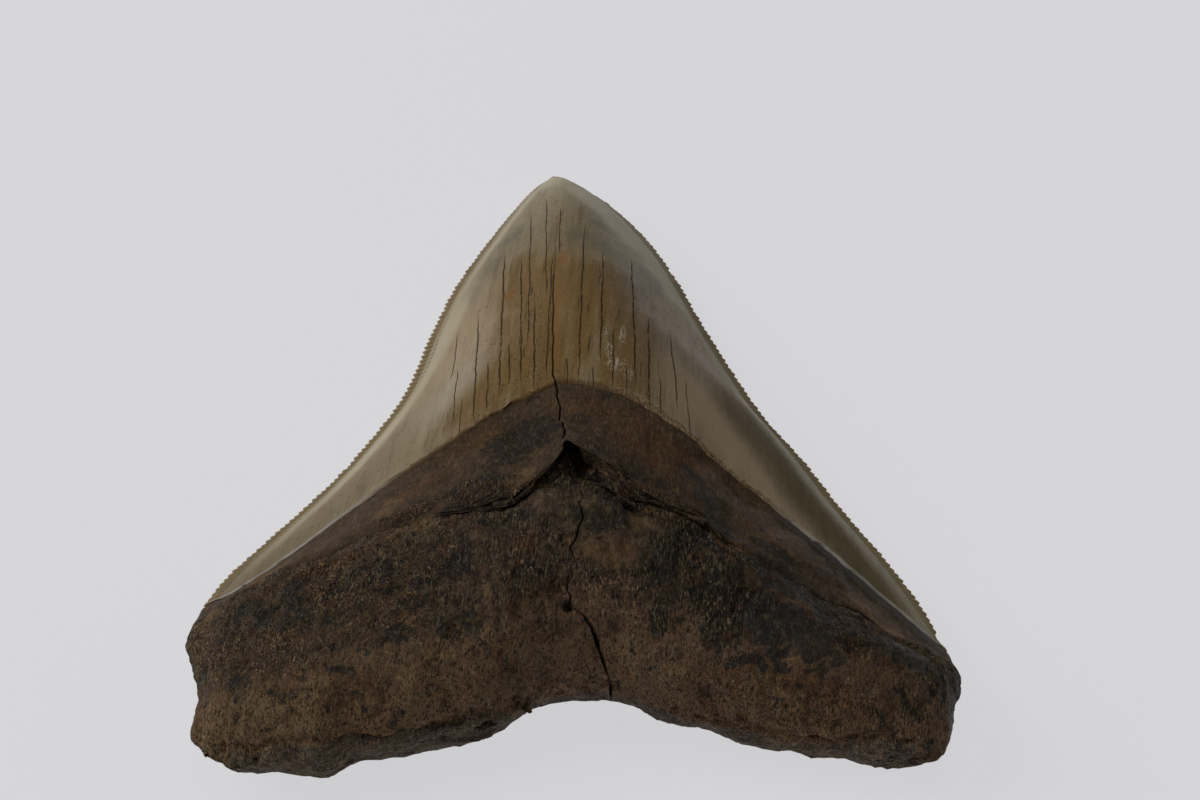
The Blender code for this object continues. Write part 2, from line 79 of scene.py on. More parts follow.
LEDGE_SIDE_SHARE = 0.8
V_LEDGE, V_MARGIN = 0.30, 0.40

# Sections of the tooth: v, height of the outline, rise of the crest over it, the part of that rise
# which is a blunt shoulder, the two powers of the section, and the rounding radius at the outline.
SECTIONS = np.array(
    (
        (0.00, 7.2, 9.2, 3.5, 3.0, 0.80, 6.5),
        (0.15, 7.0, 16.6, 4.2, 2.2, 0.90, 6.5),
        (0.29, 6.4, 18.6, 2.4, 1.9, 1.00, 5.0),
        (0.40, 5.2, 16.4, 0.4, 1.6, 1.10, 1.4),
        (0.55, 4.4, 15.2, 0.0, 1.7, 1.20, 0.8),
        (0.70, 3.8, 12.1, 0.0, 1.8, 1.20, 0.8),
        (0.85, 3.1, 7.3, 0.0, 1.9, 1.10, 0.8),
        (0.94, 2.8, 3.4, 0.0, 2.0, 1.00, 0.8),
        (1.00, 2.6, 0.0, 0.0, 2.0, 1.00, 0.8),
    )
)
# Labial sheet: v, height of its middle, and the share of the half width that stays low.
LABIAL_SECTIONS = np.array(
    (
        (0.00, 3.0, 0.80),
        (0.15, 2.0, 0.78),
        (0.33, 1.2, 0.60),
        (0.45, 0.0, 0.36),
        (0.80, 0.0, 0.34),
        (0.93, 0.0, 0.20),
        (1.00, 1.0, 0.10),
    )
)
# Half width of the arch under the root, in u, and how far the outline lifts at the notch.
LABIAL_ARCH_SHARE = 0.62
NOTCH_LIFT = 1.6
# The drop under the ledge fades out below it in two parts: the share of each, and its reach in v.
LEDGE_FADES = ((0.55, 0.035), (0.45, 0.11))
# Root and neck lie this far below the enamel, and the step ends this close to the sides, in u.
ENAMEL_STEP = 0.35
STEP_END = 0.12

# How deep the root drops under the ledge, along x. Beyond both ends it runs on into the neck.
LEDGE_DROPS = np.array(
    (
        (-22.0, 0.0), (-17.0, 0.1), (-11.0, 0.4), (-7.0, 0.9), (-3.8, 2.1), (-2.0, 3.2), (0.0, 3.0),
        (4.0, 2.2), (6.5, 1.5), (10.0, 0.8), (15.0, 0.7), (20.0, 0.5), (26.0, 0.0),
    )
)
# How far the foot of the ledge's wall lies in under the lip, along x.
UNDERCUTS = np.array(
    (
        (-22.0, 0.0), (-9.0, 0.5), (-4.6, 1.2), (-3.2, 2.4), (-1.6, 2.4), (0.2, 0.2), (4.0, 0.0), (7.0, 0.5),
        (20.0, 0.3), (26.0, 0.0),
    )
)

# The main drying crack from near the tip to the notch between the lobes: x, y, width, depth.
CRACK = (
    (-11.2, 59.8, 0.00, 0.0), (-8.7, 41.1, 0.00, 0.0), (-8.2, 32.0, 0.08, 0.1), (-7.8, 25.9, 0.13, 0.3),
    (-7.5, 20.7, 0.17, 0.5), (-6.8, 11.7, 0.20, 0.6), (-6.2, 5.0, 0.22, 0.6), (-5.8, -0.2, 0.26, 0.8),
    (-5.1, -2.5, 0.40, 0.9), (-4.6, -5.0, 0.22, 0.8), (-3.9, -9.7, 0.24, 0.8), (-3.4, -12.1, 0.26, 0.8),
    (-3.2, -14.1, 0.18, 0.7), (-2.9, -16.2, 0.28, 0.8), (-2.8, -18.8, 0.20, 0.5), (-0.3, -23.5, 0.05, 0.0),
    (0.5, -25.3, 0.14, 0.5), (0.5, -27.0, 0.24, 0.8), (1.0, -29.5, 0.24, 0.8), (0.4, -31.1, 0.24, 0.8),
    (-0.2, -33.7, 0.32, 0.9), (0.1, -34.8, 0.12, 0.4), (0.4, -36.0, 0.08, 0.2), (-0.4, -37.2, 0.14, 0.3),
    (-0.7, -38.5, 0.24, 0.6), (-0.1, -41.1, 0.30, 0.8), (0.9, -41.6, 0.24, 0.6), (2.1, -42.1, 0.50, 1.2),
    (3.2, -43.1, 0.80, 1.8), (3.6, -43.8, 0.80, 2.2), (4.0, -44.5, 0.76, 2.4), (4.8, -45.1, 0.76, 2.4),
    (5.5, -45.7, 0.60, 2.2), (5.9, -46.3, 0.50, 2.2), (6.2, -47.3, 0.50, 2.2), (6.1, -49.0, 0.50, 2.0),
)

# Hollows in the root and, below zero, knobs on it: x, y, radius across, radius up, depth.
HOLLOWS = (
    (-0.8, -18.2, 2.0, 2.8, 2.2), (-5.3, -22.7, 1.7, 1.4, 0.6), (2.2, -20.5, 1.5, 1.0, 0.9),
    (4.1, -23.1, 1.5, 0.9, 1.1), (6.9, -25.5, 1.6, 0.8, 1.2), (16.0, -29.0, 2.4, 0.8, 0.8),
    (-16.7, -29.4, 2.4, 0.7, 0.6), (-0.2, -41.4, 0.8, 0.8, 1.6), (-24.2, -40.7, 2.4, 1.3, 0.5),
    (-32.8, -49.8, 3.4, 1.6, 0.6), (-15.2, -46.8, 2.2, 1.6, 0.6), (17.9, -39.7, 2.0, 2.6, 0.5),
    (27.4, -47.3, 3.0, 1.4, 0.5), (11.3, -44.7, 1.8, 1.3, 0.5), (-7.9, -22.1, 1.6, 1.5, -0.6),
    (5.5, -20.9, 1.6, 1.6, -0.6), (13.7, -23.5, 1.8, 1.2, -0.6), (8.9, -24.1, 1.5, 1.0, -0.3),
    (41.2, -33.3, 2.2, 1.1, -0.5), (-3.7, -47.3, 4.6, 1.6, -0.4), (-41.3, -35.1, 2.4, 1.4, -0.4),
    (33.9, -30.0, 2.0, 1.2, -0.3),
)

# Height of the layered foot along the root's base: x and height.
FOOT = np.array(
    (
        (-52.0, 1.2), (-46.0, 1.6), (-40.0, 2.2), (-35.0, 2.8), (-29.0, 2.6), (-25.0, 2.2), (-18.0, 2.2),
        (-12.0, 1.8), (-7.0, 1.2), (-3.0, 0.2), (12.0, 0.1), (18.0, 0.6), (28.0, 0.8), (38.0, 1.2),
        (43.0, 2.4), (50.0, 1.8),
    )
)

# Ridges on the root and, below zero, grooves in it: half width, height, and points along it.
RIDGES = (
    (0.7, 0.30, ((50.8, -39.8), (51.4, -42.2), (52.0, -46.0), (51.6, -49.6), (50.4, -51.2), (48.4, -53.4))),
    (0.7, 0.40, ((39.0, -33.7), (39.6, -36.3), (41.0, -38.1), (44.3, -37.3), (49.4, -38.4))),
    (0.5, 0.25, ((24.0, -26.0), (30.4, -27.8), (35.0, -27.8), (38.8, -31.0))),
    (0.7, 0.22, ((-11.7, -32.2), (-4.7, -31.8), (2.3, -30.8), (12.3, -29.9))),
    (0.8, 0.30, ((-45.8, -38.1), (-38.8, -35.7), (-29.8, -32.7), (-22.7, -30.0))),
    (0.5, -0.3, ((-7.3, -25.1), (-10.6, -28.0), (-14.7, -28.6), (-18.3, -28.8))),
    (
        0.5, -0.6,
        (
            (1.3, -19.9), (3.6, -22.2), (5.6, -24.1), (7.3, -25.5), (10.2, -25.7), (13.7, -26.8),
            (19.9, -29.8), (22.6, -33.6),
        ),
    ),
    (0.35, -0.35, ((22.6, -33.6), (23.3, -37.1), (22.0, -41.2))),
    (0.40, -0.9, ((-12.6, -25.3), (-11.6, -26.1), (-10.6, -26.9))),
    (0.12, -0.4, ((8.5, -9.3), (8.8, -12.7), (9.4, -17.3), (9.7, -22.9))),
    (0.35, -0.25, ((-48.8, -39.6), (-45.4, -42.8), (-46.2, -47.7), (-43.4, -50.9))),
)

# Lumps and waves: cell size and height, and seed. The coarse ones are the solid's own.
ROOT_LUMPS = ((11.0, 0.75, 3), (5.0, 0.50, 7), (2.6, 0.25, 11))
CROWN_LUMPS = ((16.0, 0.22, 5),)
ROOT_GRIT = ((1.7, 0.16, 17), (0.9, 0.12, 23))
LIP_RAG = ((3.0, 0.40, 83), (1.2, 0.30, 89))
BASE_RAG = ((1.6, 0.40, 91), (0.7, 0.26, 97))
MARGIN_RAG = ((1.6, 0.30, 51), (0.7, 0.18, 53))
CROWN_WAVES = ((5.0, 0.05, 29),)
# The root's lumps blend into the crown's over this far at the margin, and points under this height
# move less, so that the face which the tooth lies on stays flat.
MARGIN_BLEND = 4.0
STILL_HEIGHT = 1.2
# The y and x that the near and right sides of the solid's box stand for. The root ends just inside them.
LOWEST_Y, GREATEST_X = -62.97, 54.72
# How far the cleaner, redder bone, paler there in part as painted light on the lower slopes, reaches up from
# the root's base.
CLEAN_AND_LIT_BAND = 9.0
# Points well inside the crown and the root, which the hidden rims of the two turn in towards.
CROWN_INNER = (0.0, -24.0, 8.0)
ROOT_INNER = (-2.0, 8.0, 9.0)
# Near the outline the enamel draws in where the beads cover it, and the end of the neck draws in
# where the enamel covers it: how near, and how far at the outline itself.
RIM_REACH, RIM_DRAW = 1.3, 0.60
NECK_REACH, NECK_DRAW = 3.0, 1.3

# The grids. The labial sheet takes every third column of the lingual one.
SKIP = 3
CROWN_COLUMNS, CROWN_ROWS = 301, 228
ROOT_COLUMNS, ROOT_ROWS, WALL_ROWS, NECK_ROWS = 331, 128, 10, 54
# Columns on each side that keep close to the crack, and how far they reach.
NEAR_COLUMNS, NEAR_REACH = 13, 1.7
# Places taken along each span of a curve, the outline's lines, a cutting edge and the margin.
CURVE_STEPS, OUTLINE_STEPS, SIDE_STEPS, MARGIN_STEPS = 16, 90, 160, 200

# Cutting edges: serrations on each, their depth, and the share that is worn at the tip and the corner.
SERRATIONS = 104
SERRATION_DEPTH = 0.95
STEPS_EACH = 10
WORN_AT_TIP = {-1: 0.20, 1: 0.07}
WORN_AT_CORNER = {-1: 0.05, 1: 0.08}
# A bead's profile: distances in from the crest, the power of its |sin|, and the share below its middle.
BEAD_DEPTHS = (1.8, 1.3, 0.85, 0.55, 0.30, 0.12)
BEAD_POWER = 0.55
BEAD_MIDDLE = 0.6
# Small chips out of the edges: side, place from the corner to the tip, half length, depth.
EDGE_CHIPS = (
    (1, 0.972, 0.013, 0.85), (1, 0.930, 0.010, 0.60), (1, 0.905, 0.005, 0.30), (1, 0.735, 0.006, 0.30),
    (-1, 0.655, 0.005, 0.25), (-1, 0.31, 0.005, 0.25), (1, 0.42, 0.005, 0.25), (1, 0.02, 0.012, 0.40),
)

# Stained places, each x, y, radii along and across, turn in degrees, strength. On the root, "smooth"
# is bone without grit, and "coarse" is bone that stays rough on the otherwise smooth neck.
ROOT_STAINS = {
    "slate": (
        (-20.4, -43.0, 4.6, 1.6, 24, 0.8), (-16.6, -38.6, 4.0, 1.2, 4, 0.8),
        (-12.6, -45.4, 2.4, 2.6, 0, 0.9), (-34.0, -44.6, 4.0, 1.6, 0, 0.8),
        (-42.4, -42.6, 3.0, 2.4, 0, 0.8), (-29.0, -43.6, 4.0, 1.6, 0, 0.8),
        (29.8, -43.0, 9.5, 5.2, -14, 1.0), (45.1, -41.8, 6.5, 2.6, -12, 1.0),
        (29.5, -35.2, 7.5, 3.2, -20, 0.9), (36.5, -38.8, 5.0, 3.4, -20, 1.0),
        (-38.1, -40.3, 5.4, 2.4, 78, 0.9), (-46.9, -43.0, 3.6, 1.3, 72, 0.9),
        (-22.6, -47.3, 3.4, 1.5, 0, 0.9), (-15.8, -46.8, 5.4, 1.4, -16, 0.7),
        (-30.1, -52.2, 4.6, 1.8, 2, 0.5), (-45.1, -52.6, 2.2, 2.0, 0, 0.8),
        (-50.2, -48.6, 2.6, 0.8, 90, 0.8), (-17.4, -26.4, 2.4, 1.6, 60, 0.9),
        (-24.8, -36.9, 4.0, 2.6, 10, 0.7), (-15.3, -35.2, 4.6, 1.7, 86, 0.9),
        (12.0, -35.2, 3.8, 2.0, 84, 0.8), (21.0, -26.6, 5.0, 1.8, -35, 0.8),
        (-9.0, -12.4, 7.0, 3.8, 60, 0.9), (16.6, -19.4, 5.4, 2.0, -56, 1.0),
        (53.0, -45.3, 7.0, 1.6, 88, 1.0), (2.3, -16.7, 3.2, 0.8, -32, 0.6), (-9.5, -32.3, 3.4, 1.1, 0, 0.6),
        (-42.4, -35.8, 4.4, 0.9, 20, 0.6), (-44.4, -40.4, 4.0, 1.5, 46, 0.8),
        (-36.6, -43.3, 3.6, 2.0, 0, 0.7), (-44.5, -52.0, 2.8, 2.0, 0, 0.6),
        (-38.1, -55.3, 3.4, 1.3, 0, 0.5), (-23.0, -40.4, 6.4, 1.1, 4, 0.6),
        (-31.5, -45.2, 4.0, 1.6, 20, 0.6), (17.8, -38.6, 5.0, 1.8, 84, 0.6),
    ),
    # soot_and_shade: sooty bone, and painted shade in the dark gaps under the ledge's lip and round the
    # foramen
    "soot_and_shade": (
        (-9.4, -13.4, 8.6, 5.2, 62, 1.0), (-30.0, -38.6, 13.0, 3.6, 14, 0.7),
        (-19.0, -38.0, 8.0, 3.6, 8, 0.6), (17.0, -29.6, 5.0, 1.8, -34, 1.0),
        (14.0, -36.0, 9.0, 6.0, 84, 0.8), (23.0, -41.0, 11.0, 6.6, -24, 0.9),
        (8.0, -39.5, 7.0, 2.6, 0, 0.5), (-6.0, -38.0, 6.0, 2.0, 10, 0.5), (-13.6, -26.6, 2.6, 1.0, 10, 0.9),
        (-3.0, -21.8, 3.0, 1.3, 20, 1.0), (46.2, -48.4, 4.6, 4.2, 0, 0.6), (45.6, -54.0, 4.0, 1.4, -4, 0.9),
        (-14.0, -43.5, 4.0, 1.6, 20, 0.4), (4.4, -24.8, 4.6, 2.6, -52, 1.0), (0.2, -20.6, 4.6, 2.4, 0, 1.0),
        (2.0, -29.0, 8.0, 3.0, 0, 0.8), (-10.0, -29.0, 6.0, 2.0, 6, 0.6), (21.0, -44.0, 4.0, 3.0, 0, 1.0),
        (13.0, -42.5, 3.0, 2.4, 0, 0.8), (27.0, -27.4, 5.0, 1.8, -30, 0.8), (50.0, -46.0, 2.6, 5.0, 0, 0.8),
        (9.0, -20.0, 6.0, 2.4, -30, 0.7), (27.0, -30.6, 7.0, 1.8, -22, 0.7),
    ),
    "tan": (
        (-22.0, -29.6, 7.0, 1.5, 20, 0.8), (-8.0, -47.0, 7.0, 2.6, 12, 0.9),
        (-37.0, -60.0, 13.0, 3.6, 2, 1.0), (-33.0, -55.0, 5.0, 4.0, 0, 0.8),
        (-20.0, -55.8, 12.0, 2.0, 8, 1.0), (0.0, -49.6, 6.0, 2.0, 0, 1.0),
        (-36.4, -58.6, 12.0, 4.6, 3, 0.9), (-29.0, -57.0, 10.0, 3.4, 4, 0.9),
        (-15.5, -52.6, 10.0, 3.6, 14, 0.9), (4.0, -45.8, 9.0, 2.8, 0, 0.8),
        (30.0, -50.8, 15.0, 2.8, -4, 0.5), (15.5, -48.4, 6.0, 2.2, -12, 0.6),
        (-42.8, -34.0, 4.6, 1.5, 32, 0.9), (-51.4, -39.2, 3.0, 2.0, 50, 0.8),
        (-21.8, -45.0, 1.6, 1.0, 20, 0.9), (-26.8, -24.4, 3.4, 1.8, 60, 0.8),
        (-8.3, -21.9, 3.2, 2.2, 40, 1.0), (6.4, -21.6, 3.0, 1.4, -50, 1.0),
        (11.6, -24.6, 4.2, 1.6, -12, 1.0), (3.0, -19.2, 0.7, 0.7, 0, 1.0),
        (-47.5, -57.5, 4.6, 3.0, 70, 0.8), (42.5, -33.6, 7.0, 2.0, -30, 0.9),
        (14.9, -37.2, 4.0, 0.6, 86, 0.9), (22.8, -38.0, 3.2, 0.6, 80, 0.8),
        (10.7, -33.0, 2.4, 0.5, 80, 0.7), (-24.0, -30.0, 3.0, 1.2, 70, 0.6),
        (52.6, -47.0, 6.0, 0.9, 96, 1.0), (-11.0, -40.6, 3.0, 1.0, 80, 0.6), (0.8, -47.4, 3.0, 0.8, 0, 0.6),
    ),
    "rust": (
        (-29.8, -55.2, 16.0, 4.6, 4, 0.7), (26.4, -49.4, 19.0, 3.4, -4, 0.9),
        (5.0, -33.4, 4.4, 2.6, -8, 0.6), (-0.2, -6.9, 9.0, 2.6, 0, 0.8), (9.3, -13.0, 9.5, 5.0, -40, 1.0),
        (-16.0, -11.4, 6.0, 2.6, 44, 0.8), (-21.7, -20.3, 9.0, 2.2, 34, 0.8),
        (-42.8, -34.4, 3.0, 1.4, 30, 0.8), (3.0, -19.0, 1.2, 0.8, 0, 1.0), (-6.6, -22.0, 0.8, 0.9, 0, 1.0),
        (15.4, -37.0, 5.0, 1.0, 84, 0.9), (-34.7, -35.0, 6.0, 1.8, 18, 0.8),
        (-7.9, -48.4, 3.4, 1.6, 0, 0.8), (22.6, -38.6, 4.0, 1.1, 80, 0.8), (-36.0, -46.0, 7.0, 2.0, 6, 0.5),
        (-6.0, -33.4, 3.0, 2.0, 0, 0.7), (-20.5, -52.6, 6.0, 2.6, 6, 0.6),
        (-21.8, -45.0, 2.4, 1.4, 20, 1.0), (12.3, -43.2, 4.6, 2.4, 0, 0.6),
    ),
    "plum": (
        (20.4, -18.2, 7.0, 1.9, -42, 0.9), (29.5, -24.0, 10.0, 2.6, -36, 1.0),
        (41.5, -31.8, 8.0, 2.2, -33, 1.0), (-27.7, -21.0, 5.0, 1.3, 34, 0.5),
        (47.4, -34.6, 5.0, 1.2, -34, 0.6),
    ),
    "smooth": (
        (31.0, -37.5, 8.0, 3.0, -16, 0.8), (3.0, -28.6, 13.0, 4.6, -6, 1.0), (5.8, -33.0, 7.0, 4.2, 0, 1.0),
        (30.0, -44.0, 11.0, 6.0, -14, 0.9), (45.0, -41.5, 7.0, 3.4, -14, 0.8),
        (-27.0, -52.0, 13.0, 4.0, 4, 0.5), (-12.0, -31.5, 7.0, 2.0, 6, 0.7),
        (28.0, -36.0, 9.0, 3.6, -20, 0.7), (13.5, -38.0, 6.0, 3.0, 84, 0.7),
    ),
    "coarse": (
        (-13.6, -23.6, 6.4, 3.0, 14, 1.0), (10.4, -24.2, 5.0, 1.8, -14, 1.0),
        (16.0, -28.6, 7.0, 1.8, -32, 1.0), (-24.0, -27.0, 6.0, 2.2, 30, 0.7),
        (-8.6, -25.0, 5.0, 1.6, 28, 1.0), (5.0, -22.0, 5.0, 2.0, -48, 1.0),
    ),
}
CROWN_STAINS = {
    "ochre": (
        (-6.7, 10.6, 18.0, 12.0, 80, 1.0), (-10.7, 22.8, 9.0, 8.0, 0, 1.0), (5.3, 4.5, 12.0, 8.0, 70, 0.85),
        (-14.7, 2.5, 13.0, 8.0, 60, 1.0), (1.3, 22.8, 6.0, 8.0, 0, 0.8), (-13.4, 29.0, 6.0, 4.0, 70, 0.8),
    ),
    # pale places of the enamel; the ones near the tip are partly painted light
    "pale": (
        (-3.6, 48.6, 8.0, 2.6, -52, 1.0), (1.8, 40.8, 9.0, 2.2, -58, 0.8), (-10.6, 56.4, 5.0, 3.0, 0, 0.7),
        (-24.8, 18.5, 14.0, 1.6, 74, 0.9), (-21.0, 2.0, 12.0, 4.0, 66, 0.45),
        (6.5, 36.0, 14.0, 2.4, -60, 0.6), (-33.0, -3.6, 12.0, 1.5, 62, 0.8),
    ),
    "cloud": (
        (-16.3, 39.7, 3.4, 1.8, 50, 0.8), (-18.5, 33.4, 3.4, 2.0, 60, 0.7),
        (-0.7, 40.1, 3.4, 1.8, -20, 1.0), (3.1, 36.8, 3.4, 2.2, -30, 1.0), (6.3, 31.6, 4.4, 2.4, -40, 0.9),
        (-4.7, 35.4, 4.6, 2.0, -10, 0.5), (0.9, 32.6, 6.4, 3.0, 0, 0.7), (11.3, 24.9, 2.4, 5.0, 10, 0.5),
        (-21.1, 27.9, 1.8, 3.0, 0, 0.4), (-13.3, 31.0, 6.0, 2.6, 0, 0.4), (6.0, 29.0, 8.0, 4.0, -40, 0.6),
        (1.0, 44.0, 6.0, 3.0, -50, 0.5),
    ),
    "rust": (
        (-6.4, 12.0, 18.0, 1.1, 93, 0.6), (-14.9, 22.8, 1.5, 1.3, 0, 1.0), (-6.7, 28.9, 1.2, 3.2, 0, 0.8),
        (-2.3, 25.9, 0.8, 1.4, 0, 0.5), (-9.1, 41.1, 1.0, 2.0, 0, 0.5), (3.7, 24.4, 1.0, 1.0, 0, 0.5),
        (-18.7, 9.6, 3.0, 3.0, 0, 0.4), (-17.1, 24.9, 1.0, 1.0, 0, 0.4), (-32.8, -15.8, 1.0, 1.6, 30, 0.5),
        (17.4, 0.1, 2.0, 3.0, 0, 0.4),
    ),
    "scuff": (
        (1.9, 5.8, 0.8, 2.4, 0, 1.0), (3.4, 2.9, 2.0, 1.8, 20, 1.0), (3.7, 9.0, 0.7, 3.2, 0, 0.8),
        (5.1, 1.1, 1.0, 1.8, 0, 0.9), (1.3, 10.2, 0.5, 2.6, 0, 0.7), (0.6, 3.4, 0.6, 1.6, 0, 0.6),
    ),
    "speckle": (
        (-13.7, 11.6, 7.0, 13.0, 0, 1.0), (-8.3, 12.7, 2.0, 10.0, 0, 1.0), (-18.3, 20.8, 3.0, 6.0, 0, 0.9),
        (6.3, -1.6, 8.0, 5.0, 0, 0.7), (-15.7, -5.6, 5.0, 6.0, 0, 0.8), (-22.0, 4.0, 3.0, 8.0, -14, 0.5),
        (-28.5, -8.0, 7.0, 3.0, 55, 0.4), (-10.5, 3.0, 9.0, 9.0, 0, 0.9), (-14.0, 20.0, 8.0, 8.0, 0, 0.8),
    ),
}

# The crown's thin cracks: lower x and y, upper x and y, half width.
THIN_CRACKS = (
    (-10.3, 8.3, -13.5, 46.3, 0.09), (-8.8, 22.2, -11.3, 49.3, 0.08), (-7.6, 31.4, -8.6, 44.4, 0.08),
    (-2.1, -0.3, -4.3, 39.2, 0.11), (0.7, 5.2, -0.8, 31.9, 0.13), (6.1, 1.5, 3.4, 34.8, 0.13),
    (8.4, -3.5, 7.1, 16.6, 0.13), (12.5, -1.9, 10.6, 14.7, 0.10), (-13.6, -1.6, -16.8, 35.9, 0.13),
    (-10.4, -0.3, -13.7, 32.2, 0.11), (-8.5, -0.6, -10.2, 17.9, 0.12), (-16.8, -6.2, -19.4, 21.6, 0.11),
    (-22.0, 8.0, -22.6, 19.6, 0.07), (-20.0, -5.6, -21.1, 8.6, 0.08), (-12.3, 1.3, -13.2, 9.4, 0.10),
    (-15.2, -3.4, -16.1, 6.6, 0.10), (-3.8, 0.7, -4.0, 3.7, 0.08), (0.1, -0.1, -0.1, 2.4, 0.08),
    (2.9, -0.4, 2.2, 11.3, 0.09), (5.0, -1.4, 4.6, 3.4, 0.08), (-6.9, 1.0, -8.6, 30.0, 0.09),
    (14.6, -8.0, 13.4, 4.0, 0.07), (10.2, -5.0, 9.6, 3.0, 0.07), (-18.6, -8.4, -19.2, -1.0, 0.07),
)


# ---- curves and the loft ---------------------------------------------------------------------


def curve_through(points, share):
    """Places at these shares of the length of a smooth Catmull-Rom curve through the points."""
    knots = np.array(points, float)
    padded = np.vstack([2 * knots[0] - knots[1], knots, 2 * knots[-1] - knots[-2]])
    t = np.linspace(0, 1, CURVE_STEPS, endpoint=False)[:, None]
    spans = [
        0.5 * (2 * b + (c - a) * t + (2 * a - 5 * b + 4 * c - d) * t**2 + (3 * b - 3 * c + d - a) * t**3)
        for a, b, c, d in zip(padded, padded[1:], padded[2:], padded[3:])
    ]
    dense = np.vstack([*spans, knots[-1:]])
    run = np.concatenate([[0], np.cumsum(np.linalg.norm(np.diff(dense, axis=0), axis=1))])
    run /= run[-1]
    return np.stack([np.interp(share, run, dense[:, axis]) for axis in (0, 1)], axis=-1)


def y_above(points, line):
    """How far each point is above a line of points, along y."""
    curve = curve_through(line, np.linspace(0, 1, MARGIN_STEPS))
    return points[:, 1] - np.interp(points[:, 0], curve[:, 0], curve[:, 1])


def smooth_table(v, table, column):
    """A column of a table of sections at v, eased between the sections by cubic Hermite spans."""
    x, y = table[:, 0], table[:, column]
    slope = np.gradient(y, x)
    i = np.clip(np.searchsorted(x, v, side="right") - 1, 0, len(x) - 2)
    width = x[i + 1] - x[i]
    t = np.clip((v - x[i]) / width, 0, 1)
    return (
        (2 * t**3 - 3 * t**2 + 1) * y[i]
        + (t**3 - 2 * t**2 + t) * width * slope[i]
        + (3 * t**2 - 2 * t**3) * y[i + 1]
        + (t**3 - t**2) * width * slope[i + 1]
    )


def eased(x):
    """0 below 0, 1 above 1, and a smooth step between them."""
    x = np.clip(x, 0, 1)
    return x * x * (3 - 2 * x)


def bell(x, reach):
    """1 at 0, with a smooth fall on both sides."""
    return np.exp(-((x / reach) ** 2))


def between(bottom, top, left, right, u, t):
    """Coons patch: the plane stretched between a bottom and top line and a left and right side."""
    a, t = (u + 1)[..., None] / 2, t[:, None, None]
    ends = [line(np.array([0.0, 1.0])) for line in (bottom, top)]
    share = (u + 1) / 2
    low_corners = (1 - a) * (1 - t) * ends[0][0] + a * (1 - t) * ends[0][1]
    corners = low_corners + (1 - a) * t * ends[1][0] + a * t * ends[1][1]
    return (1 - t) * bottom(share) + t * top(share) + (1 - a) * left[:, None] + a * right[:, None] - corners


def plan(u, v, lingual):
    """Places seen from above, u by row and column and v by row. Rows follow the face's feature lines."""

    def line(points):
        return lambda share: curve_through(points, share)

    def ledge(share):
        at_side = np.array([LEDGE_SIDE_SHARE])
        ends = [curve_through(side, at_side)[0] for side in (LEFT_ROOT_SIDE, RIGHT_ROOT_SIDE)]
        places = curve_through(NUTRIENT_LEDGE, share)
        places = np.where((share <= 0)[..., None], ends[0], places)
        return np.where((share >= 1)[..., None], ends[1], places)

    tip = np.array(LEFT_CUTTING_EDGE[-1])
    base, margin = line(ROOT_BASE), line(ENAMEL_MARGIN if lingual else LABIAL_MARGIN)
    up_side = np.interp(v, (0, V_LEDGE, V_MARGIN), (0, LEDGE_SIDE_SHARE, 1))
    up_edge = np.clip((v - V_MARGIN) / (1 - V_MARGIN), 0, 1)
    on_root = (v < V_MARGIN)[:, None]
    left, right = (
        np.where(on_root, curve_through(root_side, up_side), curve_through(cutting_edge, up_edge))
        for root_side, cutting_edge in (
            (LEFT_ROOT_SIDE, LEFT_CUTTING_EDGE),
            (RIGHT_ROOT_SIDE, RIGHT_CUTTING_EDGE),
        )
    )
    crown = between(margin, lambda share: np.broadcast_to(tip, (*share.shape, 2)), left, right, u, up_edge)
    if not lingual:
        root = between(base, margin, left, right, u, np.clip(v / V_MARGIN, 0, 1))
        return np.where(on_root[..., None], root, crown)
    root = between(base, ledge, left, right, u, np.clip(v / V_LEDGE, 0, 1))
    neck = between(ledge, margin, left, right, u, np.clip((v - V_LEDGE) / (V_MARGIN - V_LEDGE), 0, 1))
    below = np.where((v < V_LEDGE)[:, None, None], root, neck)
    return np.where(on_root[..., None], below, crown)


def outline():
    """The tooth's outline as one closed line of points."""
    share = np.linspace(0, 1, OUTLINE_STEPS)
    lines = (
        curve_through(ROOT_BASE, share),
        curve_through(RIGHT_ROOT_SIDE, share),
        curve_through(RIGHT_CUTTING_EDGE, share),
        curve_through(LEFT_CUTTING_EDGE, share)[::-1],
        curve_through(LEFT_ROOT_SIDE, share)[::-1],
    )
    return np.vstack([*[places[:-1] for places in lines], lines[0][:1]])


def distance_to(line, places):
    """How far each place is from the nearest stretch of a line of points."""
    flat = places.reshape(-1, 2)
    nearest = np.full(len(flat), np.inf)
    for start, end in zip(line, line[1:]):
        along = end - start
        x, y = flat[:, 0] - start[0], flat[:, 1] - start[1]
        share = np.clip((x * along[0] + y * along[1]) / max(along @ along, 1e-12), 0, 1)
        nearest = np.minimum(nearest, (x - share * along[0]) ** 2 + (y - share * along[1]) ** 2)
    return np.sqrt(nearest).reshape(places.shape[:-1])


def ledge_drop(x):
    """How deep the root drops under the ledge, along x."""
    return np.interp(x, *LEDGE_DROPS.T)


def fall_below(v):
    """The part of the drop that is left at v below the ledge: steep under the lip, then slow."""
    return sum(share * bell(V_LEDGE - v, reach) for share, reach in LEDGE_FADES)


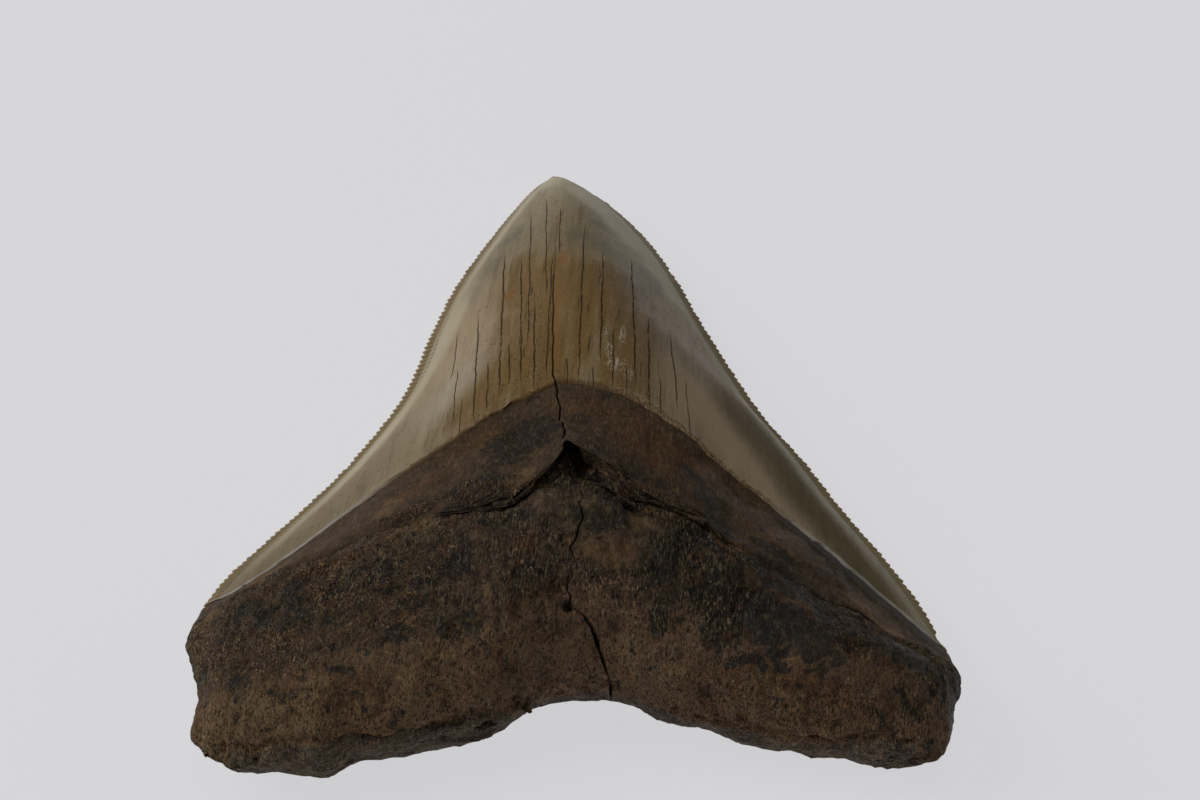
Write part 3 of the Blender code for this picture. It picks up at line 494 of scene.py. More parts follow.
def heights(u, v, places, lingual, drop=0.0):
    """Height of the lingual or labial sheet, and how far inside the outline each place is.

    The height comes from the outline, the shoulder, the crest and the rounding at the outline.
    """
    v = v[:, None]
    edge, rise, shoulder, p, q, radius = (smooth_table(v, SECTIONS, k) for k in range(1, 7))
    edge = edge + NOTCH_LIFT * (1 - np.abs(u) ** 1.5) * np.clip(1 - v / V_LEDGE, 0, 1)
    if lingual:
        over = shoulder + (rise - shoulder) * np.clip(1 - np.abs(u) ** p, 0, 1) ** q
        sheet = edge + over - drop
    else:
        middle, low = (smooth_table(v, LABIAL_SECTIONS, k) for k in (1, 2))
        arch = np.clip(1 - (u / LABIAL_ARCH_SHARE) ** 2, 0, 1) ** 2
        turn_up = np.clip((np.abs(u) - low) / (1 - low), 0, 1) ** 2
        sheet = np.maximum(middle, 0) * arch + edge * turn_up
    inside = distance_to(outline(), places)
    depth = np.clip(inside / radius, 0, 1)
    return edge + (sheet - edge) * np.sqrt(1 - (1 - depth) ** 2), inside


# ---- noise -----------------------------------------------------------------------------------


def hashed(cells, seed):
    """A repeatable random value from -1 to 1 for each lattice cell."""
    n = cells @ np.array([73856093, 19349663, 83492791]) + seed * 1013904223
    n = (n ^ (n >> 13)) * 1274126177
    return ((n ^ (n >> 16)) & 0xFFFF) / 32767.5 - 1


def lattice_noise(points, cell, seed):
    """Smooth noise: random values at the corners of cubic cells, eased between the corners."""
    place = points / cell
    corner = np.floor(place).astype(np.int64)
    ahead = eased(place - corner)
    total = np.zeros(len(points))
    for step in itertools.product((0, 1), repeat=3):
        weight = np.prod(np.where(step, ahead, 1 - ahead), axis=1)
        total += weight * hashed(corner + np.array(step), seed)
    return total


def on_a_line(values):
    """Points for a noise that depends on one number only."""
    points = np.zeros((np.size(values), 3))
    points[:, 0] = np.ravel(values)
    return points


def lumps(points, layers):
    """The sum of layers of noise: cell size, height and seed of each."""
    return sum(height * lattice_noise(points, cell, seed) for cell, height, seed in layers)


def cell_distance(points, cell, seed):
    """Distance, in cells, to the nearest of the random points that the cubic cells hold."""
    place = points / cell
    corner = np.floor(place).astype(np.int64)
    nearest = np.full(len(points), 9.0)
    for step in itertools.product((-1, 0, 1), repeat=3):
        home = corner + np.array(step)
        jitter = np.stack([hashed(home, seed + k) for k in range(3)], axis=1) * 0.45 + 0.5
        nearest = np.minimum(nearest, ((home + jitter - place) ** 2).sum(axis=1))
    return np.sqrt(nearest)


def stains(points, table):
    """The strongest of some soft ovals at each point: x, y, radii along and across, turn, strength."""
    total = np.zeros(len(points))
    for x, y, long, short, turn, strength in table:
        c, s = np.cos(np.radians(turn)), np.sin(np.radians(turn))
        dx, dy = points[:, 0] - x, points[:, 1] - y
        away = np.hypot((c * dx + s * dy) / long, (c * dy - s * dx) / short)
        total = np.maximum(total, strength * eased(1.3 - away))
    return total


# ---- the crack and the columns that follow it ------------------------------------------------


def crack_place(y):
    """x of the crack at y, with a small jagged wander, and its width and depth there."""
    table = np.array(CRACK)[::-1]
    x, width, depth = (np.interp(y, table[:, 1], table[:, k]) for k in (0, 2, 3))
    flat = on_a_line(y)
    wander = 0.16 * lattice_noise(flat, 1.9, 41) + 0.10 * lattice_noise(flat, 0.8, 43)
    below = eased((-np.ravel(y) - 2) / 4)
    return x + (wander * (0.5 + 1.5 * below) * (np.ravel(width) > 0)).reshape(np.shape(y)), width, depth


def columns_by_crack(v, count):
    """u of each row and column. The middle column follows the crack, with the next ones close to it."""
    trial = np.linspace(-0.5, 0.5, 401)
    places = plan(np.broadcast_to(trial, (len(v), 401)), v, True)
    off = places[..., 0] - crack_place(places[..., 1])[0]
    after = np.clip((off > 0).argmax(axis=1), 1, 400)
    row = np.arange(len(v))
    step = trial[1] - trial[0]
    per_u = np.maximum((places[row, after, 0] - places[row, after - 1, 0]) / step, 1e-6)
    before = off[row, after - 1]
    middle = trial[after - 1] - before / np.maximum(off[row, after] - before, 1e-9) * step
    middle = np.clip(middle, -0.5, 0.5)
    half = (count - 1) // 2
    near = NEAR_REACH * (np.arange(NEAR_COLUMNS + 1) / NEAR_COLUMNS) ** 1.25
    tight = np.minimum(1, 0.3 * per_u * (1 - np.abs(middle)) / NEAR_REACH)
    far = np.linspace(0, 1, half - NEAR_COLUMNS + 1)[1:]
    far = 1 - (1 - far) ** 1.2
    sides = []
    for side in (-1, 1):
        close = middle[:, None] + side * near * (tight / per_u)[:, None]
        sides.append(np.hstack([close, close[:, -1:] + (side - close[:, -1:]) * far]))
    return np.hstack([sides[0][:, :0:-1], sides[1]])


# ---- closed meshes of rings ------------------------------------------------------------------


def grid_quads(rows, columns):
    """The row and the column of each corner of the quads of a grid, going round each quad."""
    row, column = (grid.ravel() for grid in np.mgrid[0 : rows - 1, 0:columns])
    at_row = np.stack([row, row, row + 1, row + 1], axis=-1)
    return at_row, np.stack([column, column + 1, column + 1, column], axis=-1)


def closed_surface(lingual, labial, start, end):
    """Points, faces and UV of a closed surface made of a lingual and a labial sheet.

    lingual is rows by columns. labial has the same rows, and one column for every SKIP lingual
    ones, from the right side to the left, so that a row of both is a ring. start and end are the
    points that close the first and the last ring. Without a start, the first row is a single line
    that both sheets hang on. UV runs round the ring and along the rows.
    """
    rows, wide = lingual.shape[:2]
    narrow = labial.shape[1]
    size = wide + narrow
    points = np.concatenate([lingual, labial], axis=1).reshape(-1, 3)
    number = np.arange(rows * size).reshape(rows, size)
    at_row, at_column = grid_quads(rows, size)
    if start is None:
        kept = np.ones(rows * size, bool)
        kept[wide:size] = False
        number[0, wide:] = wide - 1 - SKIP * np.arange(1, narrow + 1)
        number = (np.cumsum(kept) - 1)[number]
        points = points[kept]
        whole = (at_row[:, 0] > 0) | (at_column[:, 0] < wide - 1)
        at_row, at_column = at_row[whole], at_column[whole]
    faces = [number[at_row, at_column % size]]
    at_row, at_column = [at_row], [at_column]
    column = np.arange(size)
    for pole, last in ((start, 0), (end, rows - 1)):
        if pole is None:
            continue
        order = [0, 1, 2] if last else [1, 0, 2]
        across = np.stack([column, column + 1, column + 0.5], axis=-1)[:, order]
        ends = number[last, across[:, :2].astype(int) % size]
        faces.append(np.column_stack([ends, np.full(size, len(points))]))
        at_column.append(across)
        at_row.append(np.broadcast_to([last, last, last + (1 if last else -1)], (size, 3)))
        points = np.vstack([points, [pole]])
    if start is None:
        k = np.arange(narrow + 1)
        column = wide - 1 + k
        along = [number[0, wide - 1 - SKIP * k - step] for step in range(SKIP + 1)]
        faces.append(np.stack([*along, number[1, (column + 1) % size], number[1, column]], axis=-1))
        shares = [column + step / SKIP for step in range(SKIP + 1)]
        at_column.append(np.stack([*shares, column + 1, column], axis=-1))
        at_row.append(np.broadcast_to([0] * (SKIP + 1) + [1, 1], (narrow + 1, SKIP + 3)))
    across, up = (np.concatenate([part.ravel() for part in parts]) for parts in (at_column, at_row))
    return points, faces, np.stack([across / size, (up + 1) / (rows + 1)], axis=-1)


def vertex_normals(points, faces):
    """Sum of the face normals round each place, made one long. Points in one place share theirs."""
    total = np.zeros_like(points)
    place = np.unique(np.round(points, 4), axis=0, return_inverse=True)[1].ravel()
    for group in faces:
        corners = points[group]
        across = corners[:, 2] - corners[:, 0]
        other = corners[:, -1] - corners[:, 1]
        normal = np.cross(across, other)
        for k in range(group.shape[1]):
            for axis in range(3):
                total[:, axis] += np.bincount(place[group[:, k]], normal[:, axis], len(points))
    total = total[place]
    return total / np.maximum(np.linalg.norm(total, axis=1), 1e-12)[:, None]


def new_object(name, data):
    obj = bpy.data.objects.new(name, data)
    bpy.context.scene.collection.objects.link(obj)
    return obj


def mesh_object(name, points, faces, uv, fields):
    """A smooth mesh object with its UV map, and one number at each point for every field."""
    mesh = bpy.data.meshes.new(name)
    mesh.from_pydata(points, [], [face for group in faces for face in group.tolist()])
    mesh.uv_layers.new(name="OFBake").data.foreach_set("uv", uv.astype(np.float32).ravel())
    for field, values in fields.items():
        attribute = mesh.attributes.new(field, "FLOAT", "POINT")
        attribute.data.foreach_set("value", np.asarray(values, np.float32))
    mesh.shade_smooth()
    mesh.update()
    return new_object(name, mesh)


# ---- crown, root and cutting edges -----------------------------------------------------------


def labial_columns(u):
    """The inner columns that the labial sheet takes, from the right side to the left."""
    return u[:, u.shape[1] - 1 - SKIP : 0 : -SKIP]


def drawn_in(points, inside, reach, amount):
    """Moves the points near the outline towards the middle of their row."""
    way = points[:, points.shape[1] // 2, None, :2] - points[..., :2]
    way /= np.maximum(np.linalg.norm(way, axis=-1), 1e-6)[..., None]
    points[..., :2] += way * (amount * np.clip(1 - inside / reach, 0, 1))[..., None]
    return points


def turned_in(rim, inner, reaches):
    """Rings that run in from a rim towards a point inside, one for each reach."""
    way = np.array(inner) - rim
    way /= np.linalg.norm(way, axis=1)[:, None]
    return np.stack([rim + reach * way for reach in reaches])


def cutting_edges(share):
    return [curve_through(line, share) for line in (LEFT_CUTTING_EDGE, RIGHT_CUTTING_EDGE)]


def crack_fields(places):
    """Depth of the crack's groove at each place, and a mask of the crack."""
    x, width, depth = crack_place(places[..., 1])
    off = np.abs(places[..., 0] - x) / np.maximum(width / 2, 0.02)
    return depth * np.clip(1 - off, 0, 1) ** 0.6, eased(1.15 - off) * np.clip(width / 0.2, 0, 1)


def weathered(points, faces, fine, groove):
    """Moves each point along its normal by the coarse lumps and its fine height, then sinks the crack."""
    normals = vertex_normals(points, faces)
    crown = np.clip(y_above(points, ENAMEL_MARGIN) / MARGIN_BLEND + 0.5, 0, 1)
    height = (1 - crown) * lumps(points, ROOT_LUMPS) + crown * lumps(points, CROWN_LUMPS)
    edges = cutting_edges(np.linspace(0, 1, SIDE_STEPS))
    at_edges = np.minimum(*[distance_to(line, points[:, :2]) for line in edges])
    free = np.clip(points[:, 2] / STILL_HEIGHT, 0, 1)
    moved = points + normals * ((height * eased(at_edges / 3) + fine) * free)[:, None]
    moved[:, 2] = np.maximum(moved[:, 2] - groove, 0)
    return moved


def crown_surface():
    """Enamel cap: the loft from the margin to the tip, with its rim turned in under itself."""
    v = V_MARGIN + (1 - V_MARGIN) * np.linspace(0, 1, CROWN_ROWS + 1)[:-1]
    u = columns_by_crack(v, CROWN_COLUMNS)
    sheets, marks = [], []
    for columns, lingual in ((u, True), (labial_columns(u), False)):
        places = plan(columns, v, lingual)
        height, inside = heights(columns, v, places, lingual)
        sign = -1 if lingual else 1
        height += sign * 0.1 * np.clip(1 - inside / RIM_REACH, 0, 1) * (inside > 0)
        none = np.zeros_like(height)
        groove, crack = crack_fields(places) if lingual else (none, none)
        points = drawn_in(np.dstack([places, height]), inside, RIM_REACH, RIM_DRAW)
        near = bell(v - V_MARGIN, 0.012)[:, None]
        ragged = lumps(on_a_line(points[..., 0]), MARGIN_RAG).reshape(inside.shape)
        points[..., 1] += ragged * near * eased(inside / 2)
        sheets.append(points)
        marks.append(np.stack([inside, crack, columns, none + lingual, 0.6 * groove], axis=-1))
    lips = turned_in(np.concatenate([sheets[0][0], sheets[1][0]]), CROWN_INNER, (1.8, 0.5))
    wide = u.shape[1]
    lingual = np.concatenate([lips[:, :wide], sheets[0]])
    labial = np.concatenate([lips[:, wide:], sheets[1]])
    tip = np.array((*LEFT_CUTTING_EDGE[-1], SECTIONS[-1, 1]))
    tip[:2] += (0.2, -0.6)
    points, faces, uv = closed_surface(lingual, labial, CROWN_INNER, tip)
    marks = np.concatenate([np.concatenate([mark[:1], mark[:1], mark]) for mark in marks], axis=1)
    marks = np.vstack([marks.reshape(-1, 5), np.zeros((2, 5))])
    fine = lumps(points, CROWN_WAVES) * eased(marks[:, 0] / 3)
    return weathered(points, faces, fine, marks[:, 4]), faces, uv, crown_fields(points, marks[:, :4])


def crown_fields(points, marks):
    """Masks for the enamel: edge, main crack, place across and above the margin, and the stains."""
    edge, crack, across, front = marks.T
    above = np.where(front > 0.5, y_above(points, ENAMEL_MARGIN), y_above(points, LABIAL_MARGIN))
    fields = {"edge": edge, "crack": crack, "across": across, "above": above}
    for name, table in CROWN_STAINS.items():
        fields[name] = stains(points, table) * (front if name != "ochre" else 1)
    return fields


def root_rows():
    """v of each row of the root, the ledge's drop left there, its lean, and 1 below the lip."""
    below = V_LEDGE * np.linspace(0, 1, ROOT_ROWS + 1)[:-1] ** 1.5
    wall = np.linspace(1, 0, WALL_ROWS + 1)[:-1]
    neck = np.linspace(V_LEDGE, V_MARGIN + 0.016, NECK_ROWS)
    none = np.zeros(NECK_ROWS)
    v = np.concatenate([below, np.full(WALL_ROWS, V_LEDGE), neck])
    fall = np.concatenate([fall_below(below), wall, none])
    lean = np.concatenate([bell(V_LEDGE - below, 0.02), wall**0.7, none])
    return v, fall[:, None], lean[:, None], np.concatenate([below * 0 + 1, wall, none])[:, None]


def carved(places, below):
    """Height of the hollows, knobs, ridges and grooves: smooth humps over ellipses and along lines.

    Hollows stay below the ledge's lip.
    """
    height = np.zeros(places.shape[:2])
    for x, y, wide, tall, depth in HOLLOWS:
        away = np.hypot((places[..., 0] - x) / wide, (places[..., 1] - y) / tall)
        height -= depth * eased(1.15 - away) * (below if depth > 0 else 1)
    for half, rise, line in RIDGES:
        height += rise * eased(1 - distance_to(np.array(line), places) / (1.6 * half))
    return height


def root_surface():
    """Root and neck: the loft from the base over the ledge, carried on under the enamel's rim."""
    v, fall, lean, below = root_rows()
    u = columns_by_crack(v, ROOT_COLUMNS)
    places = plan(u, v, True)
    flat = on_a_line(places[..., 0])
    rag = lumps(flat, LIP_RAG).reshape(u.shape) * np.clip(ledge_drop(places[..., 0]), 0, 1)
    inward = eased((1 - np.abs(u)) / STEP_END)
    drop = (ledge_drop(places[..., 0]) * fall + ENAMEL_STEP) * inward
    places[..., 1] += rag * bell(v - V_LEDGE, 0.02)[:, None]
    places[..., 1] += np.interp(places[..., 0], *UNDERCUTS.T) * lean
    height, inside = heights(u, v, places, True, drop)
    groove, crack = crack_fields(places)
    height += carved(places, below) * eased(inside / 1.5)
    base = curve_through(ROOT_BASE, np.linspace(0, 1, OUTLINE_STEPS))
    foot = np.interp(places[..., 0], *FOOT.T)
    foot *= 1 + 0.3 * lattice_noise(flat, 2.4, 101).reshape(u.shape)
    up_foot = (height - height[:1]) / np.maximum(foot, 0.05)
    by_base = eased(2 - distance_to(base, places) / 3) * np.clip(foot, 0, 1)
    by_base *= eased((0.96 - np.abs(u)) / 0.06)
    brow = 0.5 * bell(up_foot - 1.2, 0.22)
    places[..., 1] += (brow - 0.25 * eased(2.2 - 2 * up_foot)) * by_base
    lingual = np.dstack([places, height])
    steps = np.cumsum(np.concatenate([[0], np.maximum(np.diff(v), 0.0006)]))
    v_low = steps * v[-1] / steps[-1]
    narrow = labial_columns(u)
    low_places = plan(narrow, v_low, False)
    low_height, low_inside = heights(narrow, v_low, low_places, False)
    low_height += 0.3 * eased((v_low - 0.34) / 0.06)[:, None] * eased((1 - np.abs(narrow)) / STEP_END)
    labial = np.dstack([low_places, low_height])
    beyond = eased((v - V_MARGIN + 0.012) / 0.012)[:, None]
    drawn_in(lingual, inside, NECK_REACH, NECK_DRAW * beyond)
    drawn_in(labial, low_inside, NECK_REACH, NECK_DRAW * beyond)
    deep = turned_in(np.concatenate([lingual[-1], labial[-1]]), ROOT_INNER, (1.5,))
    wide = u.shape[1]
    lingual = np.concatenate([lingual, deep[:, :wide]])
    labial = np.concatenate([labial, deep[:, wide:]])
    points, faces, uv = closed_surface(lingual, labial, None, ROOT_INNER)
    foot = eased(2.6 - 2 * up_foot) * by_base * np.clip(foot - 0.9, 0.1, 1)
    marks = [crack, np.broadcast_to(1 - below, u.shape), np.ones(u.shape), foot, groove]
    marks = np.stack([np.vstack([mark, mark[-1:]]) for mark in marks], axis=-1)
    smooth = np.broadcast_to(eased((v_low - 0.22) / 0.10)[:, None], narrow.shape)
    smooth = np.stack([0 * smooth, smooth, 0 * smooth, 1 - smooth, 0 * smooth], axis=-1)
    marks = np.concatenate([marks, np.vstack([smooth, smooth[-1:]])], axis=1)
    kept = np.ones(marks.shape[:2], bool)
    kept[0, wide:] = False
    crack, neck, front, foot, groove = np.vstack([marks[kept], np.zeros((1, 5))]).T
    under = -y_above(points, ENAMEL_MARGIN)
    fine, relief = root_grit(points, under, neck)
    from_base = distance_to(base, points[:, :2])
    fine += lumps(points, BASE_RAG) * bell(from_base, 0.9)
    clean_and_lit = eased(1.5 - from_base / CLEAN_AND_LIT_BAND) * front
    fields = {"crack": crack, "neck": neck, "foot": foot, "relief": relief, "under": under, "clean_and_lit": clean_and_lit}
    for name, table in ROOT_STAINS.items():
        fields[name] = stains(points, table) * front
    return weathered(points, faces, fine, groove), faces, uv, fields


def root_grit(points, under, neck):
    """Height of the root's fine relief: worn grit, short fibres and the pits between them."""
    rough = eased((under - 2.0) / 6.0) * (1 - 0.55 * neck)
    bent = points + 0.7 * np.stack([lattice_noise(points, 1.3, seed) for seed in (103, 107, 109)], axis=1)
    pits = eased(1 - cell_distance(bent * np.array((1, 0.7, 1)), 2.1, 61) / 0.62)
    small = eased(1 - cell_distance(bent, 1.05, 67) / 0.6)
    fibre = lattice_noise(points * np.array((1, 0.3, 0.3)), 0.8, 71)
    grit = lumps(points, ROOT_GRIT) + 0.14 * fibre - 0.22 * pits - 0.16 * small
    relief = 0.5 + grit / 0.8
    return grit * (0.2 + 0.8 * rough), np.clip(relief, 0, 1)


def edge_surface(side):
    """One cutting edge: the loft's own surface next to the edge, with a bead for each serration.

    Across the edge the profile runs from the lingual face over the crest to the labial face. Along
    it the crest goes out by |sin|^BEAD_POWER of the place in the serration.
    """
    share = np.linspace(0, 1, SERRATIONS * STEPS_EACH + 1)[1:-1]
    v = V_MARGIN + (1 - V_MARGIN) * share
    lines = cutting_edges(share)
    own = lines[0 if side < 0 else 1]
    half = np.linalg.norm(lines[1] - lines[0], axis=1) / 2
    along = np.gradient(own, axis=0)
    outward = np.stack([along[:, 1], -along[:, 0]], axis=1) * side
    outward /= np.linalg.norm(outward, axis=1)[:, None]
    number = np.floor(share * SERRATIONS).astype(np.int64)
    chance = hashed(np.column_stack([number, number * 0 + side, number * 0]), 77)
    worn = np.clip((1 - share) / WORN_AT_TIP[side], 0.12, 1)
    worn = worn * np.clip(share / WORN_AT_CORNER[side], 0.3, 1) * (1 + 0.22 * chance)
    bead = np.abs(np.sin(np.pi * share * SERRATIONS)) ** BEAD_POWER - BEAD_MIDDLE
    depths = np.array(BEAD_DEPTHS) * np.minimum(1, half / 6)[:, None]
    u = side * (1 - depths / half[:, None])
    swell = bell(depths - 0.45, 0.34) * (0.44 * bead * worn)[:, None]
    give = np.clip(1 - depths / 1.2, 0, 1)
    chipped = sum(
        deep * eased(1.2 - np.abs(share - place) / half_length)
        for where, place, half_length, deep in EDGE_CHIPS
        if where == side
    )
    reach = SERRATION_DEPTH * worn * bead - chipped
    sunk = np.array((0.16, 0, 0, 0, 0, 0))
    rows = []
    for lingual in (True, False):
        places = plan(u, v, lingual)
        height = heights(u, v, places, lingual)[0]
        places = places + outward[:, None] * (give * reach[:, None])[..., None]
        height = height + (swell - sunk) * (1 if lingual else -1)
        rows.append(np.dstack([places, height]))
    crest = np.column_stack([own + outward * reach[:, None], smooth_table(v, SECTIONS, 1)])
    ring = np.concatenate([rows[0], crest[:, None], rows[1][:, ::-1]], axis=1)
    if side < 0:
        ring = ring[:, ::-1]
    rows_count, size = ring.shape[:2]
    number = np.arange(rows_count * size).reshape(rows_count, size)
    at_row, at_column = grid_quads(rows_count, size)
    faces = [number[at_row, at_column % size]]
    points = ring.reshape(-1, 3)
    uv = [np.stack([at_column / size, at_row / rows_count], axis=-1).reshape(-1, 2)]
    k = np.arange(size)
    for last in (0, rows_count - 1):
        order = [0, 1, 2] if last else [1, 0, 2]
        ends = number[last, k], number[last, (k + 1) % size]
        faces.append(np.stack([*ends, np.full(size, len(points))], axis=-1)[:, order])
        points = np.vstack([points, ring[last].mean(axis=0)])
        spot = np.stack([k / size, (k + 1) / size, (k + 0.5) / size], axis=-1)[:, order]
        uv.append(np.stack([spot, np.full(spot.shape, last / rows_count)], axis=-1).reshape(-1, 2))
    edge = np.concatenate([depths, depths[:, :1] * 0, depths[:, ::-1]], axis=1)
    edge = np.concatenate([(edge if side > 0 else edge[:, ::-1]).ravel(), [0, 0]])
    beads = np.concatenate([np.repeat(1.6 + bead * np.minimum(worn, 1), size), [0, 0]])
    front = (np.arange(size) <= len(BEAD_DEPTHS)).astype(float)
    front = np.concatenate([np.tile(front if side > 0 else front[::-1], rows_count), [1, 1]])
    marks = np.stack([edge, edge * 0, edge * 0 + side, front], axis=-1)
    return points, faces, np.vstack(uv), {**crown_fields(points, marks), "bead": beads}


# ---- shader helpers --------------------------------------------------------------------------


def node(tree, kind, inputs=None, **settings):
    """Adds a node. Its inputs are given by name or number, as a value or as another node's output."""
    made = tree.nodes.new("ShaderNode" + kind)
    for name, value in settings.items():
        setattr(made, name, value)
    for key, value in (inputs or {}).items():
        if isinstance(value, bpy.types.NodeSocket):
            tree.links.new(value, made.inputs[key])
        else:
            made.inputs[key].default_value = value
    return made


def calc(tree, operation, a, b=0.0, c=0.0, clamp=False):
    return node(tree, "Math", {0: a, 1: b, 2: c}, operation=operation, use_clamp=clamp).outputs[0]


def vector_calc(tree, operation, a, b):
    return node(tree, "VectorMath", {0: a, 1: b}, operation=operation).outputs["Vector"]


def step(tree, value, low, high):
    """0 where value is at low or before it, 1 at high or after it, and smooth between them."""
    inputs = {"Value": value, "From Min": low, "From Max": high}
    return node(tree, "MapRange", inputs, interpolation_type="SMOOTHSTEP").outputs[0]


def blend(tree, share, a, b, how="MIX"):
    """Mixes two colours. Inputs 6 and 7 and output 2 of the node are its colour sockets."""
    return node(tree, "Mix", {0: share, 6: a, 7: b}, data_type="RGBA", blend_type=how).outputs[2]


def ramp(tree, value, stops):
    made = node(tree, "ValToRGB", {0: value})
    elements = made.color_ramp.elements
    elements[0].position, elements[0].color = stops[0][0], colour(stops[0][1])
    elements[1].position, elements[1].color = stops[-1][0], colour(stops[-1][1])
    for place, tone in stops[1:-1]:
        elements.new(place).color = colour(tone)
    return made.outputs[0]


def colour(tone):
    """A colour from its red, green and blue on a scale of 0 to 255, as seen on a screen."""
    share = np.array(tone, float) / 255
    return (*np.where(share <= 0.04045, share / 12.92, ((share + 0.055) / 1.055) ** 2.4), 1.0)


def noise(tree, place, size, detail, rough, warp=0.0):
    inputs = {"Vector": place, "Scale": 1 / size, "Detail": detail, "Roughness": rough, "Distortion": warp}
    return node(tree, "TexNoise", inputs).outputs[0]


def cells(tree, place, size):
    """Distance to the nearest of randomly scattered points."""
    return node(tree, "TexVoronoi", {"Vector": place, "Scale": 1 / size}).outputs["Distance"]


def field(tree, name):
    return node(tree, "Attribute", attribute_name=name).outputs["Fac"]


def shader_group(name, inputs, outputs):
    tree = bpy.data.node_groups.new(name, "ShaderNodeTree")
    for title, kind, value in inputs:
        socket = tree.interface.new_socket(title, in_out="INPUT", socket_type="NodeSocket" + kind)
        socket.default_value = value
    for title, kind in outputs:
        tree.interface.new_socket(title, in_out="OUTPUT", socket_type="NodeSocket" + kind)
    return tree, tree.nodes.new("NodeGroupInput").outputs, tree.nodes.new("NodeGroupOutput").inputs


def use(tree, shared, inputs):
    """Places a shared group with its own inputs."""
    return node(tree, "Group", inputs, node_tree=shared).outputs


def grain_group():
    """Fine grain drawn out along one way, such as fibres or streaks, as a height from 0 to 1."""
    tree, given, out = shader_group(
        "grain",
        (
            ("Place", "Vector", (0, 0, 0)),
            ("Stretch", "Vector", (1, 1, 1)),
            ("Size", "Float", 1.0),
            ("Warp", "Float", 0.0),
            ("Contrast", "Float", 1.0),
        ),
        (("Height", "Float"),),
    )
    inputs = {
        "Vector": vector_calc(tree, "MULTIPLY", given["Place"], given["Stretch"]),
        "Scale": calc(tree, "DIVIDE", 1.0, given["Size"]),
        "Detail": 3.0,
        "Roughness": 0.62,
        "Distortion": given["Warp"],
    }
    centred = calc(tree, "SUBTRACT", node(tree, "TexNoise", inputs).outputs[0], 0.5)
    tree.links.new(calc(tree, "MULTIPLY_ADD", centred, given["Contrast"], 0.5, clamp=True), out["Height"])
    return tree


def drying_crack_group():
    """A thin crack that runs up the crown between two heights, wandering from side to side.

    Its line is x = lower x + slope (y - lower y) + wander (sin a + half sin b), and it thins to
    nothing at both ends.
    """
    tree, given, out = shader_group(
        "drying crack",
        (
            ("Place", "Vector", (0, 0, 0)),
            ("Lower x", "Float", 0.0),
            ("Lower y", "Float", 0.0),
            ("Upper y", "Float", 1.0),
            ("Slope", "Float", 0.0),
            ("Width", "Float", 0.3),
            ("Wander", "Float", 0.15),
            ("Phase", "Float", 0.0),
        ),
        (("Mask", "Float"),),
    )
    place = node(tree, "SeparateXYZ", {0: given["Place"]}).outputs
    up = calc(tree, "SUBTRACT", place[1], given["Lower y"])
    slow = calc(tree, "SINE", calc(tree, "MULTIPLY_ADD", place[1], 0.55, given["Phase"]))
    fast = calc(tree, "MULTIPLY_ADD", place[1], 1.63, calc(tree, "MULTIPLY", given["Phase"], 2.7))
    fast = calc(tree, "SINE", fast)
    swing = calc(tree, "MULTIPLY", calc(tree, "MULTIPLY_ADD", fast, 0.5, slow), given["Wander"])
    line = calc(tree, "ADD", calc(tree, "MULTIPLY_ADD", up, given["Slope"], given["Lower x"]), swing)
    off = calc(tree, "ABSOLUTE", calc(tree, "SUBTRACT", place[0], line))
    share = calc(tree, "DIVIDE", up, calc(tree, "SUBTRACT", given["Upper y"], given["Lower y"]))
    ends = calc(tree, "MULTIPLY", calc(tree, "MULTIPLY", share, calc(tree, "SUBTRACT", 1.0, share)), 8.0)
    ends = calc(tree, "MINIMUM", calc(tree, "MAXIMUM", ends, 0.0), 1.0)
    width = calc(tree, "MAXIMUM", calc(tree, "MULTIPLY", given["Width"], ends), 0.001)
    mask = calc(tree, "SUBTRACT", 1.6, calc(tree, "DIVIDE", off, width), clamp=True)
    open_end = calc(tree, "GREATER_THAN", ends, 0.001)
    tree.links.new(calc(tree, "MULTIPLY", mask, open_end), out["Mask"])
    return tree


def place_in_mm(tree):
    place = node(tree, "TexCoord").outputs["Object"]
    return vector_calc(tree, "MULTIPLY", place, (1000, 1000, 1000))


def new_material(name):
    made = bpy.data.materials.new(name)
    made.use_nodes = True
    return made, made.node_tree, made.node_tree.nodes["Principled BSDF"]


def joined(tree, values):
    """The greatest of some values."""
    total = values[0]
    for value in values[1:]:
        total = calc(tree, "MAXIMUM", total, value)
    return total


def work_kit(tree, grain):
    """Short ways to work in one material, on places in millimetres on the tooth.

    It gives the place, then three functions: the product of some values, layers of colour over a
    tone, with a mask, a greatest share and a colour each, and a fine grain that is drawn out.
    """
    place = place_in_mm(tree)

    def scaled(first, *factors):
        for factor in factors:
            first = calc(tree, "MULTIPLY", first, factor)
        return first

    def layered(tone, layers):
        for mask, share, rgb in layers:
            tone = blend(tree, scaled(mask, share), tone, colour(rgb))
        return tone

    def fibres(shift, stretch, size, warp=0.0, contrast=1.0):
        moved = vector_calc(tree, "ADD", place, shift)
        inputs = {"Place": moved, "Stretch": stretch, "Size": size, "Warp": warp, "Contrast": contrast}
        return use(tree, grain, inputs)["Height"]

    return place, scaled, layered, fibres


